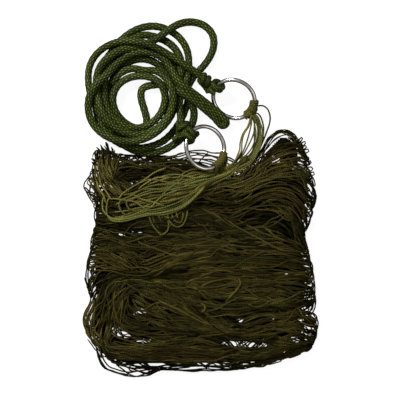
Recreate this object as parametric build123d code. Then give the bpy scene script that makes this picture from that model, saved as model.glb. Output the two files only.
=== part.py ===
from build123d import *
import math
import os

# A net hammock folded flat for storage: a knotted string net laid in lobes, a
# steel ring at each end with its clew of strings, and a braided rope tied to
# each ring, both ropes wound together in one loose coil beside the net.
# Millimetres, +Z up. The origin is under the middle of the net, rings and
# knots, on the surface that the hammock lies on.

os.makedirs("parts", exist_ok=True)

# ---- driving dimensions -------------------------------------------------
ROPE_D = 7.5            # braided rope
ROPE_R = ROPE_D / 2
WIRE_D = 4.2            # ring wire
WIRE_R = WIRE_D / 2
RING_R = 21.3           # ring radius at the middle of the wire
BORE = 0.15             # radial clearance of everything that the ring turns in
HEAD_TILT = 32.8        # how far each ring stands up from the surface, degrees
FOOT_TILT = 28.0
HEAD_LIFT = 2.3         # middle of the wire at each ring's low side
FOOT_LIFT = 3.4
COLLAR_R = 4.3          # outside radius of the string hitches on the rings
KNOT_R = 8.4            # lump of each rope knot
GRIP_R = 7.0            # rope turns round the wire beside each lump
NET_SHOULDER = 0.62     # share of a lobe's height where its sides are upright
NET_INSET = 9.0         # how far a lobe's top draws in
TAPER = 0.45            # share of the shorter run used by each rope arc

# ---- routes of the two ropes, from the knot to the free end --------------
HEAD_ROPE = [
    (6.1, 145.9, 14.5), (-3.7, 153.4, 15), (-15.7, 161.6, 17.1), (-29, 170, 16.8), (-42, 177.5, 17.1), (-55, 183.2, 18.4),
    (-69.1, 185.2, 16.7), (-83.2, 184.3, 13.2), (-96, 179.5, 8.9), (-106, 171, 6.3), (-111.7, 159.5, 5.6), (-112.5, 147, 7),
    (-110.5, 134, 9.8), (-104.9, 119.9, 11.1), (-95.9, 106.6, 11.3), (-84.4, 95.4, 9.8), (-70.6, 87.7, 7.8), (-55.8, 87.7, 5.3),
    (-42.4, 94.7, 3.8), (-31.8, 105.3, 3.8), (-25.5, 118.6, 3.8), (-21.8, 130.2, 3.8), (-11.5, 141, 3.8), (-6.5, 150.6, 3.8),
    (0.9, 157.7, 3.8), (9, 167.5, 3.8), (14.3, 179.5, 3.8), (13.5, 192.5, 3.8), (5, 202, 3.8), (-7.5, 205.5, 4.8),
    (-20, 203.6, 7.7), (-31.4, 196.7, 11.2), (-41.5, 188.5, 11.5), (-53, 182.3, 10.6), (-66.4, 178.6, 11.7), (-80.3, 175.9, 16.2),
    (-92.3, 168.7, 17.4), (-101.2, 157.7, 15.3), (-104.2, 144, 12.1), (-102.9, 130.2, 14.6), (-99, 116.3, 18.3), (-91, 103.4, 18.3),
    (-78.5, 94.3, 16.4), (-64, 90.3, 13.5), (-49.5, 93, 11.5), (-37.5, 101.6, 11), (-30, 114, 10.8), (-27.3, 127.5, 10),
    (-23.7, 141.1, 10.6), (-18.5, 153.5, 11.1), (-16.5, 166.8, 9.5), (-21.3, 179.6, 6.7), (-31.3, 188.8, 4.2), (-44.2, 193.8, 3.8),
    (-57.2, 192.6, 5.3), (-69.6, 187, 7.4), (-80.4, 178.4, 8.7), (-89.6, 167.6, 10.1), (-95.5, 154.5, 10.9), (-96.3, 140.5, 11.2),
    (-95.6, 126.3, 11.6), (-91.7, 113, 13.1), (-81.7, 102.7, 12.4), (-69, 97.6, 10.5), (-55.6, 98.9, 10.9), (-44.3, 105.7, 11.4),
    (-36.7, 116.8, 12.8), (-33.9, 129.8, 15.2), (-38.3, 141.6, 16.6), (-48.1, 149, 12.9), (-61, 151, 10.3), (-74, 148, 9.7),
    (-84.3, 139.4, 10.5), (-88.2, 127.1, 10.9), (-85.3, 114.8, 9.3), (-77.7, 105.1, 6.2), (-66.6, 101.8, 3.8),
]

FOOT_ROPE = [
    (-18.5, 102, 16), (-20, 113, 13.5), (-20.7, 125.2, 12.5), (-17.1, 138, 12), (-12.3, 149.9, 8.5), (-10.7, 163.5, 4.8),
    (-12.5, 177, 3.8), (-19.3, 188.7, 3.8), (-30.6, 197, 3.8), (-44.3, 201.4, 3.8), (-58.2, 200.1, 3.8), (-71.2, 194.1, 3.8),
    (-82.1, 184.6, 3.8), (-91.2, 172.5, 3.8), (-99.7, 159.3, 3.8), (-104.8, 144.6, 3.8), (-106.1, 129.5, 3.8), (-104.4, 114.6, 3.8),
    (-99.7, 100.8, 7.4), (-90.6, 89.1, 10.1), (-78.6, 80.9, 11.3), (-64.9, 77.8, 11), (-51, 79, 8.1), (-38, 84, 5),
    (-28, 93, 3.8), (-20, 104.5, 3.8), (-14.4, 117.1, 3.8), (-11.3, 129.3, 3.8), (-18.1, 146.2, 3.8), (-19, 158, 3.8),
    (-24.1, 171.2, 3.8), (-34.1, 181.9, 3.8), (-47.5, 186.1, 3.8), (-61.8, 183.2, 3.8), (-74.8, 176, 3.8), (-85.8, 166.3, 3.8),
    (-94, 153.7, 3.8), (-98, 138.9, 3.8), (-98.1, 123.9, 3.8), (-95.7, 109.5, 3.8), (-90.1, 96.2, 3.8), (-81.3, 84.6, 3.8),
    (-69.1, 76.3, 3.8), (-54.5, 72.6, 3.8), (-40, 74.4, 3.8), (-27, 81, 3.8), (-16, 90, 3.8), (-8, 100.5, 4.3),
    (-5.2, 113, 6.8), (-8.5, 124.8, 10.8), (-19, 134.6, 6.8), (-29.5, 143.3, 3.8), (-40.1, 150.3, 3.8), (-53.1, 154.8, 3.8),
    (-67, 155.5, 3.8), (-79.6, 150, 3.8), (-88.7, 139.1, 3.8), (-90.9, 124.7, 3.8), (-88.4, 109.9, 3.8), (-80.3, 98.5, 3.8),
    (-67.1, 93.7, 3.8), (-57.1, 95.1, 3.8), (-52.5, 104, 3.8), (-56, 117, 3.8), (-60, 129.5, 3.8), (-58.5, 139, 3.8),
    (-48.4, 141.7, 5.1), (-35.1, 142, 9.5), (-22.6, 135.6, 18.2), (-9.6, 127.1, 18.1), (2.8, 117.6, 13), (14.4, 107.8, 8.5),
    (21.2, 99.6, 5.4), (27.6, 96.2, 5.2), (31.4, 99.9, 6.8), (29.2, 105.6, 9.2), (22.8, 111, 10), (13.5, 118.7, 10.7),
    (1.2, 128.4, 13), (-10.9, 136.7, 17.2), (-22.6, 145, 18.4), (-31.9, 156.1, 14.7), (-43.3, 165.7, 11.8), (-56.5, 170, 10.5),
    (-70, 168, 11.1), (-81.5, 161, 13.6), (-92.3, 151.5, 17.7), (-103.2, 142.1, 20.6), (-110.5, 130.6, 19), (-112.2, 117, 16),
    (-108.5, 103.5, 15), (-99.5, 93, 15.9), (-87.5, 86.3, 18.1), (-74, 83.8, 18), (-59.9, 85.2, 18.3), (-46.9, 90.8, 18.4),
    (-36.4, 99.9, 18.3), (-29.5, 112, 18.8), (-26.3, 125.4, 21.1), (-28.1, 138.4, 22.5), (-35.1, 149.3, 16), (-45.4, 157.9, 8.8),
]

# ---- helpers ------------------------------------------------------------
def save(shape, name):
    export_step(shape, f"parts/{name}.step")
    print(f"{name:22s} volume {shape.volume:10.1f} mm3, valid {shape.is_valid}")


def rope(points, name):
    """A rope tube: straight runs joined by tangent arcs as large as they fit."""
    vs = [Vector(*p) for p in points]
    radii = []
    for a, b, c in zip(vs, vs[1:], vs[2:]):
        turn = (b - a).get_angle(c - b)
        run = min((b - a).length, (c - b).length)
        radii.append(TAPER * run / math.tan(math.radians(turn) / 2))
    path = FilletPolyline(*[tuple(v) for v in vs], radius=radii)
    start = Plane(origin=path @ 0, z_dir=path % 0)
    tube = sweep(start * Circle(ROPE_R), path=path)
    section = math.pi * ROPE_R ** 2
    print(
        f"{name}: length {path.length:.0f}, arcs {min(radii):.1f} to {max(radii):.1f}, "
        f"volume {tube.volume:.0f} against {section * path.length:.0f}"
    )
    return tube


def ring_frame(centre_xy, along, high, tilt, low):
    """A ring's own plane: X along its level diameter, Y up its slope."""
    t = math.radians(tilt)
    u = Vector(along[0], along[1], 0).normalized()
    p = Vector(high[0], high[1], 0).normalized()
    v = p * math.cos(t) + Vector(0, 0, math.sin(t))
    lift = low + RING_R * math.sin(t)
    return Plane(origin=(centre_xy[0], centre_xy[1], lift), x_dir=u, z_dir=u.cross(v))


def angle_at(frame, x, y):
    """The angle round the ring, in its own plane, that lies under (x, y)."""
    best = min(
        range(0, 3600),
        key=lambda k: math.hypot(
            *(
                lambda q: (q.X - x, q.Y - y)
            )(
                frame.from_local_coords(
                    Vector(
                        RING_R * math.cos(math.radians(k / 10)),
                        RING_R * math.sin(math.radians(k / 10)),
                        0,
                    )
                )
            )
        ),
    )
    return best / 10


def ring(frame):
    return frame * Torus(RING_R, WIRE_R)


def collar(frame, middle, span):
    """A sleeve of hitched string round the wire."""
    section = Plane.XZ * Location((RING_R, 0, 0)) * (
        Circle(COLLAR_R) - Circle(WIRE_R + BORE)
    )
    sleeve = revolve(section, axis=Axis.Z, revolution_arc=span)
    return frame * Rot(0, 0, middle - span / 2) * sleeve


def bead(frame, middle, span, radius):
    """A solid bead along the wire."""
    section = Plane.XZ * Location((RING_R, 0, 0)) * Circle(radius)
    return frame * Rot(0, 0, middle - span / 2) * revolve(section, axis=Axis.Z, revolution_arc=span)


def grip(frame, middle, span):
    """The rope turns that grip the wire, with room for it to slide through."""
    section = Plane.XZ * Location((RING_R, 0, 0)) * (
        Circle(GRIP_R) - Circle(WIRE_R + BORE)
    )
    return frame * Rot(0, 0, middle - span / 2) * revolve(section, axis=Axis.Z, revolution_arc=span)


def prism(outline, z0, z1, inset=0.0):
    """The outline pulled up from z0 to z1, drawn in about its middle by inset."""
    xs = [x for x, y in outline]
    ys = [y for x, y in outline]
    mx, my = (min(xs) + max(xs)) / 2, (min(ys) + max(ys)) / 2
    kx = 1 - 2 * inset / (max(xs) - min(xs))
    ky = 1 - 2 * inset / (max(ys) - min(ys))
    points = [(mx + (x - mx) * kx, my + (y - my) * ky, 0) for x, y in outline]
    face = make_face(Polyline(*points, close=True))
    return Pos(0, 0, z0) * extrude(face, amount=z1 - z0, dir=(0, 0, 1))


def lobe(outline, z0, z1, inset=NET_INSET):
    """A lobe of folded net: upright sides, then two steps that draw in."""
    z2 = z0 + (z1 - z0) * NET_SHOULDER
    z3 = z0 + (z1 - z0) * (1 + NET_SHOULDER) / 2
    return (
        prism(outline, z0, z2)
        + prism(outline, z2, z3, inset * 0.4)
        + prism(outline, z3, z1, inset)
    )


# ---- rings --------------------------------------------------------------
HEAD = ring_frame((33.9, 126.9), (0.90, -0.44), (0.44, 0.90), HEAD_TILT, HEAD_LIFT)
FOOT = ring_frame((5.3, 78.6), (0.27, -0.96), (-0.96, -0.27), FOOT_TILT, FOOT_LIFT)
for label, frame in (("head", HEAD), ("foot", FOOT)):
    o, z = frame.origin, frame.z_dir
    print(f"{label} ring centre ({o.X:.2f}, {o.Y:.2f}, {o.Z:.2f}) axis ({z.X:.4f}, {z.Y:.4f}, {z.Z:.4f})")
save(ring(HEAD), "ring_head")
save(ring(FOOT), "ring_foot")

# ---- rope knots on the rings ---------------------------------------------
a = angle_at(HEAD, 16.5, 139)
lump = Pos(9.6, 142.6, 14.6) * Rot(15, 62, 20) * Cylinder(KNOT_R, 17.5)
save(grip(HEAD, a, 36) + (lump - bead(HEAD, a, 90, 6.0)), "rope_head_knot")
b = angle_at(FOOT, -11, 92)
lump = Pos(-15.8, 95.2, 19.2) * Rot(-20, 10, 0) * Cylinder(KNOT_R, 16.5)
save(grip(FOOT, b, 40) + (lump - bead(FOOT, b, 90, 6.0)), "rope_foot_knot")

# ---- string hitches on the rings -----------------------------------------
c1 = angle_at(HEAD, 55.5, 121.5)
c2 = angle_at(HEAD, 49.5, 112)
head_hitches = Compound(children=[collar(HEAD, c1, 22), collar(HEAD, c2, 24)])
print("head hitch volumes", [round(s.volume) for s in head_hitches.solids()])
save(head_hitches, "clew_head_hitches")
d = angle_at(FOOT, 24, 62.5)
save(collar(FOOT, d, 56), "clew_foot_hitch")

# ---- ropes ----------------------------------------------------------------
save(rope(HEAD_ROPE[1:13], "rope_head_lead"), "rope_head_lead")
save(rope(HEAD_ROPE[20:36], "rope_head_loop"), "rope_head_loop")
save(rope(HEAD_ROPE[48:58], "rope_head_shoulder"), "rope_head_shoulder")
save(rope(FOOT_ROPE[1:14], "rope_foot_lead"), "rope_foot_lead")
save(rope(FOOT_ROPE[20:35], "rope_foot_return"), "rope_foot_return")
save(rope(FOOT_ROPE[43:52], "rope_foot_outer"), "rope_foot_outer")
save(rope(FOOT_ROPE[61:82], "rope_foot_bight"), "rope_foot_bight")

# ---- the coil both ropes lie in --------------------------------------------
COIL_OUT = [
    (-16, 122), (-17, 136), (-23, 150), (-33, 163), (-45, 172), (-58, 176.5),
    (-72, 175), (-86, 168), (-98, 157), (-108, 145), (-114.5, 131), (-115.8, 115),
    (-112, 100), (-103, 88), (-90, 81.5), (-75, 79.8), (-59, 80.5), (-44, 86),
    (-31, 95), (-21, 107),
]
COIL_IN = [
    (-37.5, 121), (-38, 131), (-44, 140), (-54, 145), (-66, 145), (-77, 139),
    (-83.5, 129), (-84, 118), (-80, 108), (-71, 101), (-60, 99.5), (-48, 104),
    (-41, 112),
]
COIL_TOP = 24.0
outer = prism(COIL_OUT, 0.0, COIL_TOP - 4) + prism(COIL_OUT, COIL_TOP - 4, COIL_TOP, 3.0)
save(outer - prism(COIL_IN, -1.0, COIL_TOP + 1), "rope_coil")

# ---- the folded net --------------------------------------------------------
LOBES = {
    "net_lobe_upper_left": (
        [(-109, 74), (-97, 69), (-78, 67.5), (-58, 67), (-40, 68), (-22, 68), (-20, 52), (-16, 36), (-34, 37), (-60, 35), (-86, 35), (-108, 36), (-115, 40), (-110, 50), (-108, 60)],
        0.0, 25.0,
    ),
    "net_lobe_upper_right": (
        [(40, 73), (48, 71), (58, 73), (66, 77), (90, 77), (101, 82), (112, 66), (114, 52), (115.5, 38), (90, 35), (60, 34), (34, 36), (12, 35), (-16, 36), (-20, 52), (4, 49), (24, 50), (38, 60)],
        0.0, 23.0,
    ),
    "net_lobe_middle_left": (
        [(-115, 40), (-108, 36), (-86, 35), (-60, 35), (-34, 37), (-16, 36), (-6, 20), (-4, 2), (-8, -14), (-34, -16), (-60, -14), (-86, -16), (-110, -18), (-106, -4), (-106, 14), (-110, 28)],
        0.0, 29.0,
    ),
    "net_lobe_middle_right": (
        [(-16, 36), (12, 35), (34, 36), (60, 34), (90, 35), (115.5, 38), (113, 24), (112, 8), (107, -6), (107, -18), (80, -18), (50, -16), (22, -17), (-8, -14), (-4, 2), (-6, 20)],
        0.0, 28.0,
    ),
    "net_lobe_lower_left": (
        [(-110, -18), (-86, -16), (-60, -14), (-34, -16), (-8, -14), (-2, -32), (-4, -52), (0, -72), (-4, -90), (-30, -92), (-60, -94), (-90, -93), (-116, -96), (-119, -92), (-115, -82), (-110, -70), (-111, -52), (-114, -36)],
        0.0, 30.0,
    ),
    "net_lobe_lower_right": (
        [(-8, -14), (22, -17), (50, -16), (80, -18), (107, -18), (112, -36), (115, -52), (114.5, -68), (112, -84), (119, -93), (116, -100), (90, -98), (60, -96), (30, -94), (-4, -90), (0, -72), (-4, -52), (-2, -32)],
        0.0, 29.0,
    ),
    "net_lobe_bottom": (
        [(-116, -96), (-90, -93), (-60, -94), (-30, -92), (-4, -90), (30, -94), (60, -96), (90, -98), (116, -100), (116, -114), (110, -123), (95, -131), (62, -140), (40, -146), (10, -150), (-20, -152), (-50, -149), (-80, -143), (-100, -134), (-108, -118), (-113, -106)],
        0.0, 22.0,
    ),
}
for name, (outline, z0, z1) in LOBES.items():
    save(lobe(outline, z0, z1), name)

# ---- the clews: strings gathered from each ring to the net ------------------
CLEW_HEAD = [(46, 107), (60, 113), (66, 108), (67, 96), (65, 86), (62, 78), (58, 73.5), (48, 71.5), (41, 73.5), (42, 86), (45, 98)]
fan = prism(CLEW_HEAD, 0.3, 11.0) - HEAD * Torus(RING_R, COLLAR_R + 0.3)
save(fan, "clew_head_fan")
CLEW_FOOT = [(10, 49.5), (24, 50), (38, 60), (40, 73), (36, 76), (31, 70), (22, 60), (12, 55)]
fan = prism(CLEW_FOOT, 0.3, 9.0) - FOOT * Torus(RING_R, COLLAR_R + 0.3)
save(fan, "clew_foot_fan")
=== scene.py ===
import bpy
import math
import numpy as np
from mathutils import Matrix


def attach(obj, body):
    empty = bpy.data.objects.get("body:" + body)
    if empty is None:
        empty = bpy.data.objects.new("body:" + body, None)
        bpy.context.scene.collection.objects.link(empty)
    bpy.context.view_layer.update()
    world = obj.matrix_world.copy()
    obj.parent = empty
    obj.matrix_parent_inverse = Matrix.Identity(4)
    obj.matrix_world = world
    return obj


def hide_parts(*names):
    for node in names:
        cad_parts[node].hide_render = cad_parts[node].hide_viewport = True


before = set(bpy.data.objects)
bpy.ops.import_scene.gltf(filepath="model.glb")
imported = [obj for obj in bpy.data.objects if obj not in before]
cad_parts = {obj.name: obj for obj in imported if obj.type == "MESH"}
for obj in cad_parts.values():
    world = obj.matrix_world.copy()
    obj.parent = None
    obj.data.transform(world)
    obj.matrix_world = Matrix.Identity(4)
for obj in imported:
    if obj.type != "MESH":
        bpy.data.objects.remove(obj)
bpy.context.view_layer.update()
BODY = "hammock"
rng = np.random.default_rng(20)

# Plan coordinates used below: millimetres, x to the right and y downwards,
# from a corner 200 mm to the left of the origin and 226 mm beyond it.


def plan(points, z=0.0):
    """Plan points (x, y) or (x, y, z) as metres in the row frame."""
    out = []
    for p in points:
        h = p[2] if len(p) > 2 else z
        out.append(((p[0] - 200.0) / 1000, (226.0 - p[1]) / 1000, h / 1000))
    return np.array(out)


# ---------------------------------------------------------------- camera
scene = bpy.context.scene
cam_data = bpy.data.cameras.new("camera")
cam = bpy.data.objects.new("camera", cam_data)
scene.collection.objects.link(cam)
CAM_H = 1.65
cam.location = (0.0, 0.026, CAM_H)
cam.rotation_euler = (0, 0, 0)
cam_data.sensor_width = 36.0
cam_data.lens = 36.0 * (CAM_H - 0.014) / 0.400
cam_data.clip_end = 20
scene.camera = cam

# ---------------------------------------------------------------- ropes' routes
HEAD_ROPE = [
    (6.1, 145.9, 14.5), (-3.7, 153.4, 15), (-15.7, 161.6, 17.1), (-29, 170, 16.8), (-42, 177.5, 17.1),
    (-55, 183.2, 18.4), (-69.1, 185.2, 16.7), (-83.2, 184.3, 13.2), (-96, 179.5, 8.9), (-106, 171, 6.3),
    (-111.7, 159.5, 5.6), (-112.5, 147, 7), (-110.5, 134, 9.8), (-104.9, 119.9, 11.1), (-95.9, 106.6, 11.3),
    (-84.4, 95.4, 9.8), (-70.6, 87.7, 7.8), (-55.8, 87.7, 5.3), (-42.4, 94.7, 3.8), (-31.8, 105.3, 3.8),
    (-25.5, 118.6, 3.8), (-21.8, 130.2, 3.8), (-11.5, 141, 3.8), (-6.5, 150.6, 3.8), (0.9, 157.7, 3.8),
    (9, 167.5, 3.8), (14.3, 179.5, 3.8), (13.5, 192.5, 3.8), (5, 202, 3.8), (-7.5, 205.5, 4.8), (-20, 203.6, 7.7),
    (-31.4, 196.7, 11.2), (-41.5, 188.5, 11.5), (-53, 182.3, 10.6), (-66.4, 178.6, 11.7), (-80.3, 175.9, 16.2),
    (-92.3, 168.7, 17.4), (-101.2, 157.7, 15.3), (-104.2, 144, 12.1), (-102.9, 130.2, 14.6), (-99, 116.3, 18.3),
    (-91, 103.4, 18.3), (-78.5, 94.3, 16.4), (-64, 90.3, 13.5), (-49.5, 93, 11.5), (-37.5, 101.6, 11),
    (-30, 114, 10.8), (-27.3, 127.5, 10), (-23.7, 141.1, 10.6), (-18.5, 153.5, 11.1), (-18.7, 166, 9.5),
    (-24, 177.6, 6.7), (-33.6, 186, 4.2), (-45.4, 190.4, 3.8), (-57.2, 192.6, 5.3), (-69.6, 187, 7.4),
    (-80.4, 178.4, 8.7), (-89.6, 167.6, 10.1), (-95.5, 154.5, 10.9), (-96.3, 140.5, 11.2), (-95.6, 126.3, 11.6),
    (-91.7, 113, 13.1), (-81.7, 102.7, 12.4), (-69, 97.6, 10.5), (-55.6, 98.9, 10.9), (-44.3, 105.7, 11.4),
    (-36.7, 116.8, 12.8), (-33.9, 129.8, 15.2), (-38.3, 141.6, 16.6), (-48.1, 149, 12.9), (-61, 151, 10.3),
    (-74, 148, 9.7), (-84.3, 139.4, 10.5), (-88.2, 127.1, 10.9), (-85.3, 114.8, 9.3), (-77.7, 105.1, 6.2),
    (-68.5, 99.4, 3.8), (-62.4, 97.4, 3.8),
]

FOOT_ROPE = [
    (-18.5, 102, 16), (-20, 113, 13.5), (-20.7, 125.2, 12.5), (-17.1, 138, 12), (-12.3, 149.9, 8.5),
    (-10.7, 163.5, 4.8), (-12.5, 177, 3.8), (-19.3, 188.7, 3.8), (-30.6, 197, 3.8), (-44.3, 201.4, 3.8),
    (-58.2, 200.1, 3.8), (-71.2, 194.1, 3.8), (-82.1, 184.6, 3.8), (-91.2, 172.5, 3.8), (-99.7, 159.3, 3.8),
    (-104.8, 144.6, 3.8), (-106.1, 129.5, 3.8), (-104.4, 114.6, 3.8), (-99.7, 100.8, 7.4), (-90.6, 89.1, 10.1),
    (-78.6, 80.9, 11.3), (-64.9, 77.8, 11), (-51, 79, 8.1), (-38, 84, 5), (-28, 93, 3.8), (-20, 104.5, 3.8),
    (-14.4, 117.1, 3.8), (-11.3, 129.3, 3.8), (-14.6, 137.8, 8.2), (-18.1, 146.2, 3.8), (-22.2, 156.8, 3.8),
    (-29.4, 168, 3.8), (-39, 176.8, 3.8), (-50.4, 180.8, 3.8), (-61.8, 183.2, 3.8), (-74.8, 176, 3.8),
    (-85.8, 166.3, 3.8), (-94, 153.7, 3.8), (-98, 138.9, 3.8), (-98.1, 123.9, 3.8), (-95.7, 109.5, 3.8),
    (-90.1, 96.2, 3.8), (-81.3, 84.6, 3.8), (-69.1, 76.3, 3.8), (-54.5, 72.6, 3.8), (-40, 74.4, 3.8),
    (-27, 81, 3.8), (-16, 90, 3.8), (-8, 100.5, 4.3), (-5.2, 113, 6.8), (-8.5, 124.8, 10.8), (-19, 134.6, 6.8),
    (-29.5, 143.3, 3.8), (-37.5, 159.2, 3.8), (-50.5, 167.8, 3.8), (-65.5, 168.2, 3.8), (-80, 160, 3.8),
    (-90.5, 143.5, 3.8), (-90.9, 124.7, 3.8), (-88.4, 109.9, 3.8), (-80.3, 98.5, 3.8), (-67.1, 93.7, 3.8),
    (-57.1, 95.1, 3.8), (-52.5, 104, 3.8), (-56, 117, 3.8), (-60, 129.5, 3.8), (-58.5, 139, 3.8),
    (-48.4, 141.7, 5.1), (-35.1, 142, 9.5), (-22.6, 135.6, 18.2), (-9, 127.8, 18.1), (3.3, 118.3, 13),
    (15, 108.5, 8.5), (19.2, 102.9, 5.5), (22.2, 100.5, 5.2), (25, 100.9, 5.6), (26.6, 103.1, 6.6),
    (26.1, 105.9, 8), (21.4, 110.6, 9.6), (12.9, 118, 10.7), (0.6, 127.7, 13), (-11.5, 135.9, 17.2),
    (-22.6, 145, 18.4), (-29.5, 158.4, 14.7), (-39.2, 170.7, 11.8), (-55, 175.4, 10.5), (-70.5, 172.8, 11.1),
    (-82.5, 163.5, 13.6), (-92.3, 151.5, 17.7), (-103.2, 142.1, 20.6), (-110.5, 130.6, 19), (-112.2, 117, 16),
    (-108.5, 103.5, 15), (-99.5, 93, 15.9), (-87.5, 86.3, 18.1), (-74, 83.8, 18), (-59.9, 85.2, 18.3),
    (-46.9, 90.8, 18.4), (-36.4, 99.9, 18.3), (-29.5, 112, 18.8), (-26.3, 125.4, 21.1), (-28.1, 138.4, 22.5),
    (-35.1, 149.3, 16), (-44.5, 156.4, 8.8), (-55.5, 155.4, 10.2), (-66.5, 158.4, 10.4), (-77, 155.2, 10.4),
    (-84.5, 149, 10.4), (-89, 142.5, 10.2),
]


def route(points, name):
    """The rope's line: one NURBS spline with the route as its control points."""
    cu = bpy.data.curves.new(name, "CURVE")
    cu.dimensions = "3D"
    sp = cu.splines.new("NURBS")
    sp.points.add(len(points) - 1)
    for q, (x, y, z) in zip(sp.points, points):
        q.co = (x / 1000, y / 1000, z / 1000, 1.0)
    sp.order_u = 3
    sp.use_endpoint_u = True
    sp.resolution_u = 12
    ob = bpy.data.objects.new(name, cu)
    scene.collection.objects.link(ob)
    bpy.context.view_layer.update()
    me = bpy.data.meshes.new_from_object(ob)
    line = np.array([v.co[:] for v in me.vertices])
    bpy.data.objects.remove(ob)
    bpy.data.meshes.remove(me)
    return line


# ---------------------------------------------------------------- mesh helpers
def resample(line, step):
    d = np.linalg.norm(np.diff(line, axis=0), axis=1)
    keep = np.concatenate([[True], d > 1e-7])
    line = line[keep]
    s = np.concatenate([[0], np.cumsum(np.linalg.norm(np.diff(line, axis=0), axis=1))])
    n = max(3, int(round(s[-1] / step)) + 1)
    t = np.linspace(0, s[-1], n)
    return np.column_stack([np.interp(t, s, line[:, k]) for k in range(3)]), t


def smooth_through(points, step):
    """A Catmull-Rom line through a few points, evenly spaced."""
    p = np.asarray(points, float)
    if len(p) == 2:
        return resample(p, step)[0]
    e = np.vstack([2 * p[0] - p[1], p, 2 * p[-1] - p[-2]])
    out = []
    for i in range(1, len(e) - 2):
        t = np.linspace(0, 1, 13)[: 13 if i == len(e) - 3 else 12, None]
        a, b, c, d = e[i - 1], e[i], e[i + 1], e[i + 2]
        out.append(
            0.5 * ((2 * b) + (c - a) * t + (2 * a - 5 * b + 4 * c - d) * t**2 + (3 * b - a - 3 * c + d) * t**3)
        )
    return resample(np.vstack(out), step)[0]


def soften(p, n=2):
    for _ in range(n):
        p[1:-1] = 0.25 * p[:-2] + 0.5 * p[1:-1] + 0.25 * p[2:]
    return p


def frames(line):
    """Tangents and a pair of normals carried along the line without twist."""
    t = np.gradient(line, axis=0)
    t /= np.linalg.norm(t, axis=1)[:, None] + 1e-12
    n = np.zeros_like(t)
    up = np.array([0, 0, 1.0]) if abs(t[0][2]) < 0.9 else np.array([1.0, 0, 0])
    v = up - t[0] * up.dot(t[0])
    n[0] = v / np.linalg.norm(v)
    for i in range(1, len(t)):
        v = n[i - 1] - t[i] * n[i - 1].dot(t[i])
        n[i] = v / (np.linalg.norm(v) + 1e-12)
    return t, n, np.cross(t, n)


def make_mesh(name, verts, quads, tris, uv=None, tone=None, material=None, smooth=True):
    me = bpy.data.meshes.new(name)
    me.vertices.add(len(verts))
    me.vertices.foreach_set("co", np.asarray(verts, np.float32).ravel())
    q = np.asarray(quads, np.int32).reshape(-1, 4)
    t = np.asarray(tris, np.int32).reshape(-1, 3)
    loops = np.concatenate([q.ravel(), t.ravel()])
    me.loops.add(len(loops))
    me.loops.foreach_set("vertex_index", loops)
    me.polygons.add(len(q) + len(t))
    start = np.concatenate([np.arange(len(q)) * 4, len(q) * 4 + np.arange(len(t)) * 3])
    me.polygons.foreach_set("loop_start", start.astype(np.int32))
    me.update(calc_edges=True)
    if uv is not None:
        layer = me.uv_layers.new(name="along")
        layer.data.foreach_set("uv", np.asarray(uv, np.float32)[loops].ravel())
    if tone is not None:
        a = me.color_attributes.new("tone", "FLOAT_COLOR", "POINT")
        c = np.ones((len(verts), 4), np.float32)
        c[:, : tone.shape[1]] = tone
        a.data.foreach_set("color", c.ravel())
    me.polygons.foreach_set("use_smooth", np.full(len(me.polygons), smooth))
    me.validate()
    me.update()
    ob = bpy.data.objects.new(name, me)
    scene.collection.objects.link(ob)
    if material:
        me.materials.append(material)
    return ob


class Strings:
    """Collects many thin string tubes into one mesh."""

    def __init__(self, sides=6):
        self.sides = sides
        self.v, self.q, self.t, self.uv, self.tone = [], [], [], [], []
        self.n = 0

    def add(self, line, radius, tint=0.5, shade=1.0, seed_v=None):
        """line: (n, 3) metres. radius: metres, a number or one per point."""
        k, m = self.sides, len(line)
        t, a, b = frames(line)
        r = np.broadcast_to(np.asarray(radius, float), (m,)).copy()
        r[0] *= 0.55
        r[-1] *= 0.55
        ang = np.linspace(0, 2 * np.pi, k, endpoint=False)
        ring = line[:, None] + r[:, None, None] * (
            np.cos(ang)[None, :, None] * a[:, None] + np.sin(ang)[None, :, None] * b[:, None]
        )
        ends = np.vstack([line[0] - t[0] * r[0] * 0.4, line[-1] + t[-1] * r[-1] * 0.4])
        self.v.append(np.vstack([ring.reshape(-1, 3), ends]))
        i = np.arange(m - 1)[:, None] * k + np.arange(k)[None]
        j = np.arange(m - 1)[:, None] * k + (np.arange(k)[None] + 1) % k
        q = np.stack([i, j, j + k, i + k], -1).reshape(-1, 4) + self.n
        self.q.append(q)
        c = np.arange(k)
        d = (c + 1) % k
        e0 = self.n + m * k
        self.t.append(np.column_stack([np.full(k, e0), self.n + d, self.n + c]))
        self.t.append(np.column_stack([np.full(k, e0 + 1), self.n + (m - 1) * k + c, self.n + (m - 1) * k + d]))
        s = np.concatenate([[0], np.cumsum(np.linalg.norm(np.diff(line, axis=0), axis=1))])
        off = float(rng.random() * 3) if seed_v is None else seed_v
        u = np.tile(np.arange(k) / k, m)
        v = np.repeat(s * 1000 / 10.0 + off, k)
        self.uv.append(np.column_stack([np.append(u, [0, 0]), np.append(v, [off, s[-1] * 100 + off])]))
        tone = np.column_stack([np.full(m * k + 2, tint), np.full(m * k + 2, shade), np.full(m * k + 2, rng.random())])
        self.tone.append(tone)
        self.n += m * k + 2

    def build(self, name, material):
        return make_mesh(
            name,
            np.vstack(self.v),
            np.vstack(self.q),
            np.vstack(self.t),
            np.vstack(self.uv),
            np.vstack(self.tone),
            material,
        )


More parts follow.
